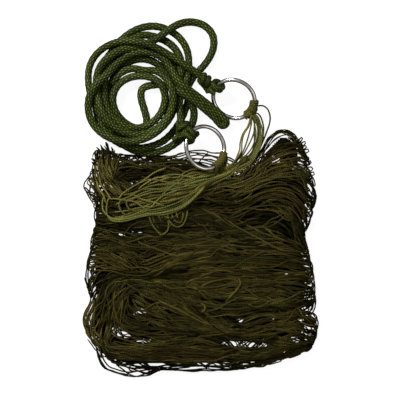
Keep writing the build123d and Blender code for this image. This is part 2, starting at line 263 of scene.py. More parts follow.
def braid(line, name, material, radius=0.00382, sides=32, strands=8, cell=0.0066, seed=1):
    """A round braid of two families of strands that pass over and under."""
    r = np.random.default_rng(seed)
    line, s = resample(line, cell / 7.0)
    t, a, b = frames(line)
    m = len(line)
    twist = 0.5 * np.sin(s / 0.11 + seed) + s * 3.0
    ang = np.linspace(0, 2 * np.pi, sides, endpoint=False)
    u = strands * ang[None] / (2 * np.pi) + s[:, None] / cell
    v = strands * ang[None] / (2 * np.pi) - s[:, None] / cell
    fu, fv = u - np.floor(u), v - np.floor(v)
    over = (np.floor(u) + np.floor(v)) % 2 < 1
    across = np.where(over, fv, fu)
    along = np.where(over, fu, fv)
    ridge = np.sqrt(np.clip(1 - (2 * across - 1) ** 2 * 0.96, 0, 1))
    hump = np.sqrt(np.clip(1 - (2 * along - 1) ** 2 * 0.80, 0, 1))
    h = ridge * hump
    soft = 1 + 0.018 * np.sin(s / 0.017 + seed) + 0.012 * np.sin(s / 0.0063 + 2 * seed)
    flat = 1 + 0.03 * np.cos(2 * (ang[None] + twist[:, None] * 0.3))
    rad = radius * (0.79 + 0.215 * h) * soft[:, None] * flat
    rad[0] *= 0.7
    rad[-1] *= 0.7
    ca, sa = np.cos(ang[None] + twist[:, None]), np.sin(ang[None] + twist[:, None])
    ring = line[:, None] + rad[..., None] * (ca[..., None] * a[:, None] + sa[..., None] * b[:, None])
    verts = np.vstack([ring.reshape(-1, 3), line[0] - t[0] * radius * 0.25, line[-1] + t[-1] * radius * 0.25])
    k = sides
    i = np.arange(m - 1)[:, None] * k + np.arange(k)[None]
    j = np.arange(m - 1)[:, None] * k + (np.arange(k)[None] + 1) % k
    q = np.stack([i, j, j + k, i + k], -1).reshape(-1, 4)
    c = np.arange(k)
    d = (c + 1) % k
    e0 = m * k
    tris = np.vstack(
        [
            np.column_stack([np.full(k, e0), d, c]),
            np.column_stack([np.full(k, e0 + 1), (m - 1) * k + c, (m - 1) * k + d]),
        ]
    )
    strand = np.where(over, np.floor(v) % strands, strands + np.floor(u) % strands)
    pick = r.random(2 * strands)
    # tone.r is the braid's height h, which the rope material turns into painted shade in the gaps between strands and a
    # painted highlight on their tops; tone.g picks each strand's own tone; tone.b marks the strands that pass over
    tone = np.column_stack(
        [
            np.append(h.ravel(), [0.3, 0.3]),
            np.append(pick[strand.astype(int) % (2 * strands)].ravel(), [0.5, 0.5]),
            np.append(np.where(over, 1.0, 0.0).ravel(), [0, 0]),
        ]
    )
    uu = np.append(np.tile(ang / (2 * np.pi), m), [0, 0])
    vv = np.append(np.repeat(s * 100, k), [0, s[-1] * 100])
    ob = make_mesh(name, verts, q, tris, np.column_stack([uu, vv]), tone, material)
    return ob, line


# ---------------------------------------------------------------- materials
def new_material(name):
    m = bpy.data.materials.new(name)
    m.use_nodes = True
    m.node_tree.nodes.clear()
    return m, m.node_tree.nodes, m.node_tree.links


def rope_material():
    m, n, l = new_material("braided_rope")
    out = n.new("ShaderNodeOutputMaterial")
    b = n.new("ShaderNodeBsdfPrincipled")
    tone = n.new("ShaderNodeVertexColor")
    tone.layer_name = "tone"
    sep = n.new("ShaderNodeSeparateColor")
    l.new(tone.outputs["Color"], sep.inputs[0])
    # painted shade and highlight: this ramp runs on the braid's height, near black in the gaps between strands and
    # bright on the strand tops
    ramp = n.new("ShaderNodeValToRGB")
    e = ramp.color_ramp.elements
    e[0].position, e[0].color = 0.30, (0.0008, 0.0013, 0.0002, 1)
    e[1].position, e[1].color = 0.97, (0.150, 0.180, 0.034, 1)
    mid = ramp.color_ramp.elements.new(0.74)
    mid.color = (0.020, 0.030, 0.0035, 1)
    l.new(sep.outputs[0], ramp.inputs[0])
    # each strand a little lighter or darker, and slow patches along the rope
    tex = n.new("ShaderNodeTexCoord")
    noise = n.new("ShaderNodeTexNoise")
    noise.inputs["Scale"].default_value = 26.0
    noise.inputs["Detail"].default_value = 3.0
    l.new(tex.outputs["Object"], noise.inputs["Vector"])
    mapr = n.new("ShaderNodeMapRange")
    mapr.inputs["From Min"].default_value = 0.3
    mapr.inputs["From Max"].default_value = 0.7
    mapr.inputs["To Min"].default_value = 0.62
    mapr.inputs["To Max"].default_value = 1.30
    l.new(noise.outputs[0], mapr.inputs["Value"])
    pick = n.new("ShaderNodeMapRange")
    pick.inputs["To Min"].default_value = 0.62
    pick.inputs["To Max"].default_value = 1.25
    l.new(sep.outputs[1], pick.inputs["Value"])
    mul = n.new("ShaderNodeMath")
    mul.operation = "MULTIPLY"
    l.new(mapr.outputs[0], mul.inputs[0])
    l.new(pick.outputs[0], mul.inputs[1])
    vec = n.new("ShaderNodeVectorMath")
    vec.operation = "SCALE"
    l.new(ramp.outputs[0], vec.inputs[0])
    l.new(mul.outputs[0], vec.inputs["Scale"])
    l.new(vec.outputs[0], b.inputs["Base Color"])
    # filaments
    fib = n.new("ShaderNodeTexNoise")
    fib.inputs["Scale"].default_value = 900.0
    fib.inputs["Detail"].default_value = 2.0
    l.new(tex.outputs["Object"], fib.inputs["Vector"])
    bump = n.new("ShaderNodeBump")
    bump.inputs["Strength"].default_value = 0.35
    bump.inputs["Distance"].default_value = 0.0004
    l.new(fib.outputs[0], bump.inputs["Height"])
    l.new(bump.outputs[0], b.inputs["Normal"])
    b.inputs["Roughness"].default_value = 0.55
    b.inputs["Specular IOR Level"].default_value = 0.10
    l.new(b.outputs[0], out.inputs[0])
    return m


def string_material(name, dark, light, rough=0.55):
    """Twisted cord: tone.r picks the colour, tone.g scales its brightness (each string's own tone, and painted shade on
    deeper strings and dark fillers), a helix grooves it and also paints shade in the grooves and highlights on the ply
    crests.
    """
    m, n, l = new_material(name)
    out = n.new("ShaderNodeOutputMaterial")
    b = n.new("ShaderNodeBsdfPrincipled")
    tone = n.new("ShaderNodeVertexColor")
    tone.layer_name = "tone"
    sep = n.new("ShaderNodeSeparateColor")
    l.new(tone.outputs["Color"], sep.inputs[0])
    ramp = n.new("ShaderNodeValToRGB")
    e = ramp.color_ramp.elements
    e[0].position, e[0].color = 0.0, (*dark, 1)
    e[1].position, e[1].color = 1.0, (*light, 1)
    l.new(sep.outputs[0], ramp.inputs[0])
    uv = n.new("ShaderNodeUVMap")
    uv.uv_map = "along"
    sxy = n.new("ShaderNodeSeparateXYZ")
    l.new(uv.outputs[0], sxy.inputs[0])
    # helix phase: two plies, one turn each 5 mm
    a = n.new("ShaderNodeMath")
    a.operation = "MULTIPLY_ADD"
    a.inputs[1].default_value = 2.0
    l.new(sxy.outputs[1], a.inputs[0])
    l.new(sxy.outputs[0], a.inputs[2])
    w = n.new("ShaderNodeMath")
    w.operation = "MULTIPLY"
    w.inputs[1].default_value = 4 * math.pi
    l.new(a.outputs[0], w.inputs[0])
    sn = n.new("ShaderNodeMath")
    sn.operation = "SINE"
    l.new(w.outputs[0], sn.inputs[0])
    # painted shade and highlight: the helix scales the colour from 0.40 in the twist grooves to 1.38 on the ply crests
    ply_shade_and_highlight = n.new("ShaderNodeMapRange")
    ply_shade_and_highlight.inputs["From Min"].default_value = -1.0
    ply_shade_and_highlight.inputs["From Max"].default_value = 1.0
    ply_shade_and_highlight.inputs["To Min"].default_value = 0.40
    ply_shade_and_highlight.inputs["To Max"].default_value = 1.38
    l.new(sn.outputs[0], ply_shade_and_highlight.inputs["Value"])
    tex = n.new("ShaderNodeTexCoord")
    noise = n.new("ShaderNodeTexNoise")
    noise.inputs["Scale"].default_value = 60.0
    noise.inputs["Detail"].default_value = 2.0
    l.new(tex.outputs["Object"], noise.inputs["Vector"])
    patch = n.new("ShaderNodeMapRange")
    patch.inputs["From Min"].default_value = 0.3
    patch.inputs["From Max"].default_value = 0.7
    patch.inputs["To Min"].default_value = 0.7
    patch.inputs["To Max"].default_value = 1.25
    l.new(noise.outputs[0], patch.inputs["Value"])
    m1 = n.new("ShaderNodeMath")
    m1.operation = "MULTIPLY"
    l.new(ply_shade_and_highlight.outputs[0], m1.inputs[0])
    l.new(patch.outputs[0], m1.inputs[1])
    m2 = n.new("ShaderNodeMath")
    m2.operation = "MULTIPLY"
    l.new(m1.outputs[0], m2.inputs[0])
    l.new(sep.outputs[1], m2.inputs[1])
    vec = n.new("ShaderNodeVectorMath")
    vec.operation = "SCALE"
    hue = n.new("ShaderNodeValToRGB")
    h = hue.color_ramp.elements
    h[0].position, h[0].color = 0.25, (1.0, 0.93, 0.85, 1)
    h[1].position, h[1].color = 0.95, (0.78, 0.95, 0.95, 1)
    l.new(sep.outputs[2], hue.inputs[0])
    tinted = n.new("ShaderNodeVectorMath")
    tinted.operation = "MULTIPLY"
    l.new(ramp.outputs[0], tinted.inputs[0])
    l.new(hue.outputs[0], tinted.inputs[1])
    l.new(tinted.outputs[0], vec.inputs[0])
    l.new(m2.outputs[0], vec.inputs["Scale"])
    l.new(vec.outputs[0], b.inputs["Base Color"])
    bump = n.new("ShaderNodeBump")
    bump.inputs["Strength"].default_value = 0.8
    bump.inputs["Distance"].default_value = 0.0003
    l.new(sn.outputs[0], bump.inputs["Height"])
    l.new(bump.outputs[0], b.inputs["Normal"])
    b.inputs["Roughness"].default_value = rough
    b.inputs["Specular IOR Level"].default_value = 0.06
    l.new(b.outputs[0], out.inputs[0])
    return m


def steel_material():
    m, n, l = new_material("polished_steel")
    out = n.new("ShaderNodeOutputMaterial")
    b = n.new("ShaderNodeBsdfPrincipled")
    b.inputs["Metallic"].default_value = 1.0
    tex = n.new("ShaderNodeTexCoord")
    noise = n.new("ShaderNodeTexNoise")
    noise.inputs["Scale"].default_value = 180.0
    noise.inputs["Detail"].default_value = 4.0
    l.new(tex.outputs["Object"], noise.inputs["Vector"])
    ramp = n.new("ShaderNodeValToRGB")
    e = ramp.color_ramp.elements
    e[0].position, e[0].color = 0.35, (0.56, 0.53, 0.49, 1)
    e[1].position, e[1].color = 0.62, (0.80, 0.77, 0.73, 1)
    l.new(noise.outputs[0], ramp.inputs[0])
    l.new(ramp.outputs[0], b.inputs["Base Color"])
    rr = n.new("ShaderNodeMapRange")
    rr.inputs["To Min"].default_value = 0.12
    rr.inputs["To Max"].default_value = 0.30
    l.new(noise.outputs[0], rr.inputs["Value"])
    l.new(rr.outputs[0], b.inputs["Roughness"])
    bump = n.new("ShaderNodeBump")
    bump.inputs["Strength"].default_value = 0.08
    bump.inputs["Distance"].default_value = 0.0002
    l.new(noise.outputs[0], bump.inputs["Height"])
    l.new(bump.outputs[0], b.inputs["Normal"])
    l.new(b.outputs[0], out.inputs[0])
    return m


ROPE = rope_material()
NET = string_material("net_cord", (0.008, 0.0058, 0.0008), (0.185, 0.150, 0.034), 0.65)
CLEW = string_material("clew_cord", (0.040, 0.036, 0.005), (0.235, 0.215, 0.055), 0.6)
STEEL = steel_material()

# ---------------------------------------------------------------- rings
for node in ("ring_head", "ring_foot"):
    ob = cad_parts[node]
    for slot in ob.material_slots:
        slot.material = STEEL

# ---------------------------------------------------------------- ropes
head_line = route(HEAD_ROPE, "head_route")
foot_line = route(FOOT_ROPE, "foot_route")
head_rope, head_path = braid(head_line, "head_rope", ROPE, seed=3)
foot_rope, foot_path = braid(foot_line, "foot_rope", ROPE, seed=7)


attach(head_rope, BODY)
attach(foot_rope, BODY)
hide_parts("rope_head_lead", "rope_head_loop", "rope_head_shoulder", "rope_coil")
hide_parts("rope_foot_lead", "rope_foot_return", "rope_foot_outer", "rope_foot_bight")

# ---------------------------------------------------------------- what holds the rings
RING_R = 0.0213


def ring_of(c, axis):
    c, n = np.array(c) / 1000, np.array(axis, float)
    n /= np.linalg.norm(n)
    u = np.cross([0, 0, 1], n)
    u /= np.linalg.norm(u)
    return c, u, np.cross(n, u), n


HEAD = ring_of((33.90, 126.90, 13.84), (-0.2379, -0.4867, 0.8406))
FOOT = ring_of((5.30, 78.60, 13.40), (-0.4519, -0.1271, -0.8829))


def on_ring(ring, deg):
    c, u, v, n = ring
    t = np.radians(deg)
    e = np.cos(t)[..., None] * u + np.sin(t)[..., None] * v
    return c + RING_R * e, e


def round_wire(ring, d0, d1, turns, radius, start=0.0, step=10):
    """A helix round the ring's wire from one ring angle to another."""
    k = max(8, int(abs(turns) * 360 / step))
    t = np.linspace(0, 1, k)
    p, e = on_ring(ring, d0 + (d1 - d0) * t)
    a = start + 2 * np.pi * turns * t
    return p + radius * (np.cos(a)[:, None] * e + np.sin(a)[:, None] * ring[3])


def off_wire(line, ring, gap, fine=False):
    """Push a line's points off the ring's wire; a stretch that would cut through it goes round it instead."""
    c, u, v, n = ring
    if fine:
        mid = (line[:-1] + line[1:]) / 2 - c
        far = np.hypot(np.hypot(mid @ u, mid @ v) - RING_R, mid @ n)
        out = [line[:1]]
        for k in range(len(line) - 1):
            parts = 4 if far[k] < gap + 0.002 else 1
            out.append(line[k] + (line[k + 1] - line[k]) * (np.arange(1, parts + 1) / parts)[:, None])
        line = np.vstack(out)
    d = line - c
    x, y, z = d @ u, d @ v, d @ n
    r = np.hypot(x, y) + 1e-9
    e = (x / r)[:, None] * u + (y / r)[:, None] * v
    w = c + RING_R * e
    m, phi = np.hypot(r - RING_R, z), np.arctan2(z, r - RING_R)
    deep = m < 0.8 * gap
    k = 0
    while k < len(line):
        if not deep[k]:
            k += 1
            continue
        last = k
        while last + 1 < len(line) and deep[last + 1]:
            last += 1
        f0 = phi[k - 1] if k > 0 else None
        f1 = phi[last + 1] if last + 1 < len(line) else None
        f0 = f0 if f0 is not None else (f1 if f1 is not None else phi[k])
        f1 = f1 if f1 is not None else f0
        turn = (f1 - f0 + np.pi) % (2 * np.pi) - np.pi
        phi[k:last + 1] = f0 + turn * np.arange(1, last - k + 2) / (last - k + 2)
        k = last + 1
    near = m < gap
    line = line.copy()
    line[near] = (w + gap * (np.cos(phi)[:, None] * e + np.sin(phi)[:, None] * n))[near]
    return line


WIRES = []
for ring in (HEAD, FOOT):
    p, e = on_ring(ring, np.linspace(0, 360, 160, endpoint=False))
    WIRES.append(np.column_stack([p[:, 0] * 1000 + 200, 226 - p[:, 1] * 1000, p[:, 2] * 1000]))
WIRES = np.vstack(WIRES)


def sleeve(ring, d0, d1, inner, outer, sides=20):
    """A short closed tube with a bore, bent along the ring's wire."""
    n = max(6, int(abs(d1 - d0) / 3))
    p, e = on_ring(ring, np.linspace(d0, d1, n))
    a = np.linspace(0, 2 * np.pi, sides, endpoint=False)
    prof = []
    for i in range(n):
        for r in (inner, outer):
            prof.append(p[i] + r * (np.cos(a)[:, None] * e[i] + np.sin(a)[:, None] * ring[3]))
    v = np.vstack(prof)
    q = []
    k = sides
    for i in range(n - 1):
        for j in range(k):
            jj = (j + 1) % k
            q.append((2 * i * k + j, 2 * (i + 1) * k + j, 2 * (i + 1) * k + jj, 2 * i * k + jj))
            q.append(((2 * i + 1) * k + j, (2 * i + 1) * k + jj, (2 * i + 3) * k + jj, (2 * i + 3) * k + j))
    for j in range(k):
        jj = (j + 1) % k
        q.append((j, jj, k + jj, k + j))
        b = 2 * (n - 1) * k
        q.append((b + j, b + k + j, b + k + jj, b + jj))
    return v, np.array(q)


def add_sleeve(bag, ring, d0, d1, inner, outer, tint, shade):
    v, q = sleeve(ring, d0, d1, inner, outer)
    bag.v.append(v)
    bag.q.append(q + bag.n)
    bag.uv.append(np.column_stack([np.zeros(len(v)), np.zeros(len(v))]))
    bag.tone.append(np.column_stack([np.full(len(v), tint), np.full(len(v), shade), np.full(len(v), 0.5)]))
    bag.n += len(v)


# the two hitches on the head ring
hh = Strings(8)
for d0, d1, turns in ((2.0, 25.0, 4.4), (327.5, 353.5, 5.0)):
    # painted shade: a dark sleeve inside the windings, seen only between the turns
    add_sleeve(hh, HEAD, d0 + 1.5, d1 - 1.5, 0.00228, 0.0030, 0.0, 0.25)
    hh.add(round_wire(HEAD, d0, d1, turns, 0.00335, start=0.4), 0.00086, 0.5, 0.95)
    # the tucked strings that cross each hitch
    for k, ph in enumerate((2.4, 3.0, 3.7)):
        p, e = on_ring(HEAD, np.linspace(d0 + 1, d1 - 1, 12))
        a = ph + 0.25 * np.sin(np.linspace(0, 3.0, 12) + k)
        hh.add(p + 0.00435 * (np.cos(a)[:, None] * e + np.sin(a)[:, None] * HEAD[3]), 0.00085, 0.7, 1.0)
# the crossing lump between them and the knots below
for d, ph, turns in ((357.0, 0.2, 1.3), (360.5, 2.0, 1.2), (359.0, 4.0, 1.2)):
    hh.add(round_wire(HEAD, d - 6, d + 6, turns, 0.0041, start=ph), 0.0010, 0.5, 0.8)
hitches = hh.build("clew_head_hitch_wraps", CLEW)
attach(hitches, BODY)
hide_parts("clew_head_hitches")

# the one long whipping on the foot ring
fh = Strings(7)
# painted shade: a dark sleeve inside the whipping's turns, seen only between them
add_sleeve(fh, FOOT, 297.5, 351.0, 0.00228, 0.0031, 0.1, 0.4)
fh.add(round_wire(FOOT, 296.3, 352.3, 14.5, 0.00335, start=1.0, step=14), 0.00072, 0.45, 0.95)
whip = fh.build("clew_foot_hitch_wraps", CLEW)
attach(whip, BODY)
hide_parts("clew_foot_hitch")


def spot(x, y, z):
    return plan([(x, y, z)])[0]


def knot(name, ring, d0, d1, turns, start, lead, axis_a, axis_b, radius, r, tail, node, seed):
    """Rope turns on the wire, a lump of turns round the standing part, and a tail."""
    wire = round_wire(ring, d0, d1, turns, radius + 0.0023, start=start, step=20)
    a, b = spot(*axis_a), spot(*axis_b)
    ax = (b - a) / np.linalg.norm(b - a)
    n1 = np.cross(ax, [0, 0, 1.0])
    n1 /= np.linalg.norm(n1)
    n2 = np.cross(ax, n1)
    t = np.linspace(0, 1, 40)
    ang = 2 * np.pi * 2.15 * t + 0.6
    lump = a + (b - a) * t[:, None] + r * (np.cos(ang)[:, None] * n1 + np.sin(ang)[:, None] * n2)
    lump = off_wire(lump, ring, radius + 0.0025)
    standing = np.array([spot(*q) for q in lead])
    pieces = [
        smooth_through(np.vstack([standing, wire[:3]]), 0.002)[:-1],
        wire[2:-2],
        smooth_through(np.vstack([wire[-3:-1], (wire[-1] + lump[-1]) / 2 + 0.001 * n2, lump[-1], lump[-3]]), 0.002)[2:-2],
        lump[::-1][3:],
        smooth_through(np.vstack([lump[1], lump[0], [spot(*q) for q in tail]]), 0.002)[2:],
    ]
    line = off_wire(soften(np.vstack(pieces), 2), ring, radius + 0.00235, fine=True)
    line[:, 2] = np.clip(line[:, 2], radius * 1.05, 0.0295 - radius)
    ob, _ = braid(line, name, ROPE, radius=radius, sides=20, strands=8, cell=0.0034, seed=seed)
    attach(ob, BODY)
    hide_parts(node)
    return ob


knot("head_rope_knot_turns", HEAD, 156, 184, 2.0, 2.6, [(200, 76, 15), (206, 81, 15)], (200.5, 77.0, 14.8), (210.5, 83.0, 14.8), 0.0027, 0.0042,
     [(206, 88, 10), (208.5, 92.5, 9)], "rope_head_knot", 11)
knot("foot_rope_knot_turns", FOOT, 123, 161, 2.4, 2.0, [(181.0, 116, 15), (181.8, 122, 16)], (182.5, 121.5, 17.5), (185.5, 138, 18.5), 0.0029, 0.0048,
     [(178, 137, 12), (172.5, 139.5, 10)], "rope_foot_knot", 13)

# ---------------------------------------------------------------- the net's form
OUTLINE = [
    (92, 152), (101, 147), (108, 150), (116, 154), (130, 156), (150, 156), (170, 157), (190, 160), (205, 166), (222, 172),
    (232, 168), (243, 162), (254, 156), (262, 150), (268, 138), (278, 130), (288, 129), (296, 134), (302, 143), (306, 152),
    (311, 165), (313, 176), (316, 188), (316, 200), (313, 210), (311, 222), (306, 230), (305, 238), (308, 247), (311, 260),
    (313, 275), (314, 285), (315, 300), (312, 311), (317, 318), (318, 327), (316, 340), (311, 350), (296, 357), (276, 363),
    (258, 368), (225, 371), (195, 371), (165, 371), (143, 374), (128, 372), (112, 366), (101, 358), (94, 349), (86, 338),
    (82, 322), (85, 311), (90, 301), (88, 290), (85, 278), (87, 262), (90, 248), (93, 232), (95, 218), (94, 205), (88, 196),
    (84, 188), (87, 178), (91, 168),
]
POLY = np.array(OUTLINE, float)

# places where the floor shows between the strings: middle, half sizes, turn
GAPS = [
    (243, 344.5, 23, 3.2, 4), (262, 344, 5, 3.6, 20), (310, 299, 4.6, 9, -8), (305, 309, 4.0, 2.2, 20),
    (309.5, 331, 5.4, 8, 0), (305, 320, 5, 2.2, -10), (314, 319, 3.0, 4.5, 35), (116, 332, 3.0, 2.6, 30), (125.5, 334, 4.4, 2.2, 25),
    (139, 312, 5.5, 1.3, 0), (144, 342, 6.0, 1.2, 6), (150, 365, 18, 2.0, 0), (208, 365, 20, 1.6, 2), (212, 369.2, 12, 1.2, 1),
    (262, 366.3, 6, 1.0, 14), (103, 357, 1.9, 5.0, -28), (120, 362, 8, 1.8, 22), (106, 184, 3.2, 2.0, -35), (114, 182, 3.2, 1.9, -35),
    (118, 181, 1.4, 1.6, 0), (100, 187, 2.0, 1.2, 0), (111, 188, 1.6, 1.6, 0), (132.5, 183.5, 3.0, 1.3, 0), (98, 206, 1.3, 5.5, 0),
    (90.5, 277, 1.6, 4.2, -15), (89, 262, 1.2, 3.6, 10), (295, 169, 3.0, 1.3, 0), (262, 164, 2.2, 0.9, 25), (275, 159, 4.0, 0.9, 25),
    (270.5, 318, 2.6, 1.1, 10), (241, 320.5, 2.4, 1.1, 10), (286, 273.5, 1.6, 1.0, 0), (295, 341, 3.0, 1.3, 15), (302, 350, 5.0, 1.2, 20),
    (284, 351.5, 4.0, 1.2, 12), (134, 232, 1.4, 1.0, 0), (140.5, 232.5, 1.2, 1.0, 0), (121, 234.5, 1.1, 0.9, 0), (301, 163, 1.6, 1.0, 0),
]
# valleys between the lobes: a line, its depth and half width
VALLEYS = [
    ([(124, 276), (140, 280), (160, 279), (185, 272)], 8.0, 6.0),
    ([(200, 204), (225, 208), (245, 206), (262, 204)], 7.0, 5.0),
    ([(244, 312), (262, 311), (285, 310), (300, 306)], 6.0, 4.0),
    ([(196, 335), (222, 343), (262, 345), (276, 340)], 8.0, 5.0),
    ([(98, 330), (112, 324), (126, 334), (150, 341)], 7.0, 5.5),
    ([(140, 181), (120, 184), (104, 186)], 8.0, 7.0),
    ([(108, 229), (125, 231), (144, 233)], 7.0, 4.5),
    ([(118, 164), (140, 170), (165, 173), (185, 172)], 4.0, 7.0),
    ([(205, 318), (218, 319), (232, 322)], 4.0, 4.0),
    ([(272, 222), (284, 228), (292, 238)], 4.0, 5.0),
]


def seg_dist(p, a, b):
    ab = b - a
    t = np.clip(((p - a) @ ab) / (ab @ ab + 1e-9), 0, 1)
    return np.linalg.norm(p - (a + t[:, None] * ab), axis=1)


def edge_dist(p):
    """Distance to the outline, positive inside."""
    d = np.full(len(p), 1e9)
    inside = np.zeros(len(p), bool)
    for a, b in zip(POLY, np.roll(POLY, -1, axis=0)):
        d = np.minimum(d, seg_dist(p, a, b))
        c = (a[1] > p[:, 1]) != (b[1] > p[:, 1])
        x = a[0] + (p[:, 1] - a[1]) * (b[0] - a[0]) / (b[1] - a[1] + 1e-12)
        inside ^= c & (p[:, 0] < x)
    return np.where(inside, d, -d)


def lumps(p):
    x, y = p[:, 0], p[:, 1]
    return (
        np.sin(x / 23.0 + 0.7 * np.sin(y / 31.0)) * np.cos(y / 17.0 + 0.5)
        + 0.6 * np.sin(x / 11.0 + y / 19.0 + 1.3)
        + 0.5 * np.cos(y / 8.5 - x / 29.0)
    )


def height(p):
    """How high the folded net stands at a plan point, in mm."""
    p = np.asarray(p, float)[:, :2]
    d = edge_dist(p)
    h = 3.0 + 23.5 * (1 - np.exp(-np.clip(d, 0, 80) / 13.0)) + 1.3 * lumps(p) * np.clip(d / 20, 0, 1)
    for line, deep, half in VALLEYS:
        v = np.full(len(p), 1e9)
        q = np.array(line, float)
        for a, b in zip(q[:-1], q[1:]):
            v = np.minimum(v, seg_dist(p, a, b))
        h -= deep * np.exp(-((v / half) ** 2))
    # the head clew and both rings lie over a thin edge of the net
    h -= 8.0 * np.exp(-(((p[:, 0] - 206) / 26) ** 2 + ((p[:, 1] - 166) / 9) ** 2))
    return np.clip(h, 2.2, 28.5)


GAPS = [(x, y, max(a, 1.6), max(b, 1.5) if b < 3 else b, t) for x, y, a, b, t in GAPS]


def part_round_gaps(p, grow=0.9):
    """Move plan points out of the gaps."""
    q = p.copy()
    for cx, cy, rx, ry, turn in GAPS:
        c, s = math.cos(math.radians(-turn)), math.sin(math.radians(-turn))
        dx, dy = q[:, 0] - cx, q[:, 1] - cy
        u, v = (dx * c - dy * s) / (rx + grow), (dx * s + dy * c) / (ry + grow)
        r = np.hypot(u, v)
        m = r < 1
        if m.any():
            # leave mostly across the gap's short side
            if ry <= rx:
                sign = np.where(v[m] >= 0, 1, -1)
                v2 = sign * np.sqrt(np.clip(1 - u[m] ** 2, 0, 1))
                u2 = u[m]
            else:
                sign = np.where(u[m] >= 0, 1, -1)
                u2 = sign * np.sqrt(np.clip(1 - v[m] ** 2, 0, 1))
                v2 = v[m]
            X, Y = u2 * (rx + grow), v2 * (ry + grow)
            q[m, 0] = cx + X * c + Y * s
            q[m, 1] = cy - X * s + Y * c
    return q


def wobble(n, step, wave, amp, r):
    """A smooth random line of n values."""
    k = max(3, int(n * step / wave) + 3)
    c = r.normal(0, 1, k)
    x = np.linspace(0, k - 1, n)
    i = np.clip(x.astype(int), 0, k - 2)
    t = x - i
    t = t * t * (3 - 2 * t)
    return amp * (c[i] * (1 - t) + c[i + 1] * t)


GX, GY = np.arange(72, 330, 3.0), np.arange(118, 391, 3.0)
gx, gy = np.meshgrid(GX, GY)
gp = np.column_stack([gx.ravel(), gy.ravel()])
inner = edge_dist(gp).reshape(gx.shape)
slope = np.stack(np.gradient(inner, 3.0)[::-1], -1)


def keep_in(p, margin=0.2):
    """Draw points that stray over the outline back to it."""
    i = np.clip(((p[:, 1] - GY[0]) / 3.0), 0, len(GY) - 1.001)
    j = np.clip(((p[:, 0] - GX[0]) / 3.0), 0, len(GX) - 1.001)
    a, b = i.astype(int), j.astype(int)
    u, v = i - a, j - b
    d = inner[a, b] * (1 - u) * (1 - v) + inner[a + 1, b] * u * (1 - v) + inner[a, b + 1] * (1 - u) * v + inner[a + 1, b + 1] * u * v
    g = slope[np.rint(i).astype(int), np.rint(j).astype(int)]
    g = g / (np.linalg.norm(g, axis=1)[:, None] + 1e-9)
    lack = np.clip(margin - d, 0, 30)
    return p + g * lack[:, None]


STEP = 2.8
groups = {}


def strings(group):
    if group not in groups:
        groups[group] = Strings(5)
    return groups[group]


def clear_rings(p, h, radius):
    """Keep strings under the ring wires where there is room below them; elsewhere their height is left as it is."""
    near = (p[:, 0] > 178) & (p[:, 0] < 262) & (p[:, 1] > 74) & (p[:, 1] < 174)
    for i in np.where(near)[0]:
        d = np.hypot(WIRES[:, 0] - p[i, 0], WIRES[:, 1] - p[i, 1])
        k = int(d.argmin())
        if d[k] < 2.1 + radius + 0.6:
            top = WIRES[k, 2] - 2.1 - radius - 0.5
            if top > radius + 0.2:
                h[i] = min(h[i], top)


FLOW = []


def flow_from(points, weight=1.0):
    q = smooth_through([(x, y, 0) for x, y in points], 5.0)
    t = np.gradient(q[:, :2], axis=0)
    a = np.arctan2(t[:, 1], t[:, 0])
    FLOW.append(np.column_stack([q[:, 0], q[:, 1], weight * np.cos(2 * a), weight * np.sin(2 * a)]))


def lay(group, points, radius=0.68, depth=0.0, tint=0.4, shade=1.0, dive=(1, 1), amp=0.5, z=None, part=True, wave=17.0, lift=0.0, knots=True, deep=None):
    """One string over plan points, resting on the net's form at a depth below its top."""
    p = smooth_through([(x, y, 0) for x, y in points], STEP)
    n = len(p)
    if n < 3:
        return
    t = np.gradient(p[:, :2], axis=0)
    t /= np.linalg.norm(t, axis=1)[:, None] + 1e-9
    side = np.column_stack([-t[:, 1], t[:, 0]])
    w = wobble(n, STEP, wave, amp, rng) + wobble(n, STEP, 7.5, 0.28, rng)
    p[:, :2] += side * w[:, None]
    if part:
        p[:, :2] = keep_in(keep_in(p[:, :2], rng.uniform(-1.2, 1.2)), -1.5)
        p[:, :2] = part_round_gaps(p[:, :2], 0.4)
        p[:, :2] = soften(p[:, :2], 1)
    if z is None:
        h = height(p) - depth + wobble(n, STEP, 14.0, 0.6, rng) + lift
        if deep is not None:
            h = h - np.interp(np.linspace(0, 1, n), np.linspace(0, 1, len(deep)), deep)
    else:
        h = np.interp(np.linspace(0, 1, n), np.linspace(0, 1, len(z)), z)
    s = np.arange(n) * STEP
    for on, dist in ((dive[0], s), (dive[1], s[::-1])):
        if on:
            h -= on * 6.5 * np.clip(1 - dist / 13.0, 0, 1) ** 1.6
    h = soften(h.copy(), 1)
    clear_rings(p, h, radius)
    h = np.clip(h, radius + 0.15, 29.2)
    r = np.full(n, radius / 1000)
    if knots and n > 8:
        k = int(rng.integers(2, 10))
        while k < n - 2:
            r[k] *= 1.38
            k += int(rng.integers(8, 14))
    line = plan(np.column_stack([p[:, :2], h]))
    for ring in (HEAD, FOOT):
        line = off_wire(line, ring, 0.0021 + 1.38 * radius / 1000 + 0.0003)
    line[:, 2] = np.clip(line[:, 2], (radius + 0.1) / 1000, 0.0292)
    strings(group).add(line, r, tint, shade)


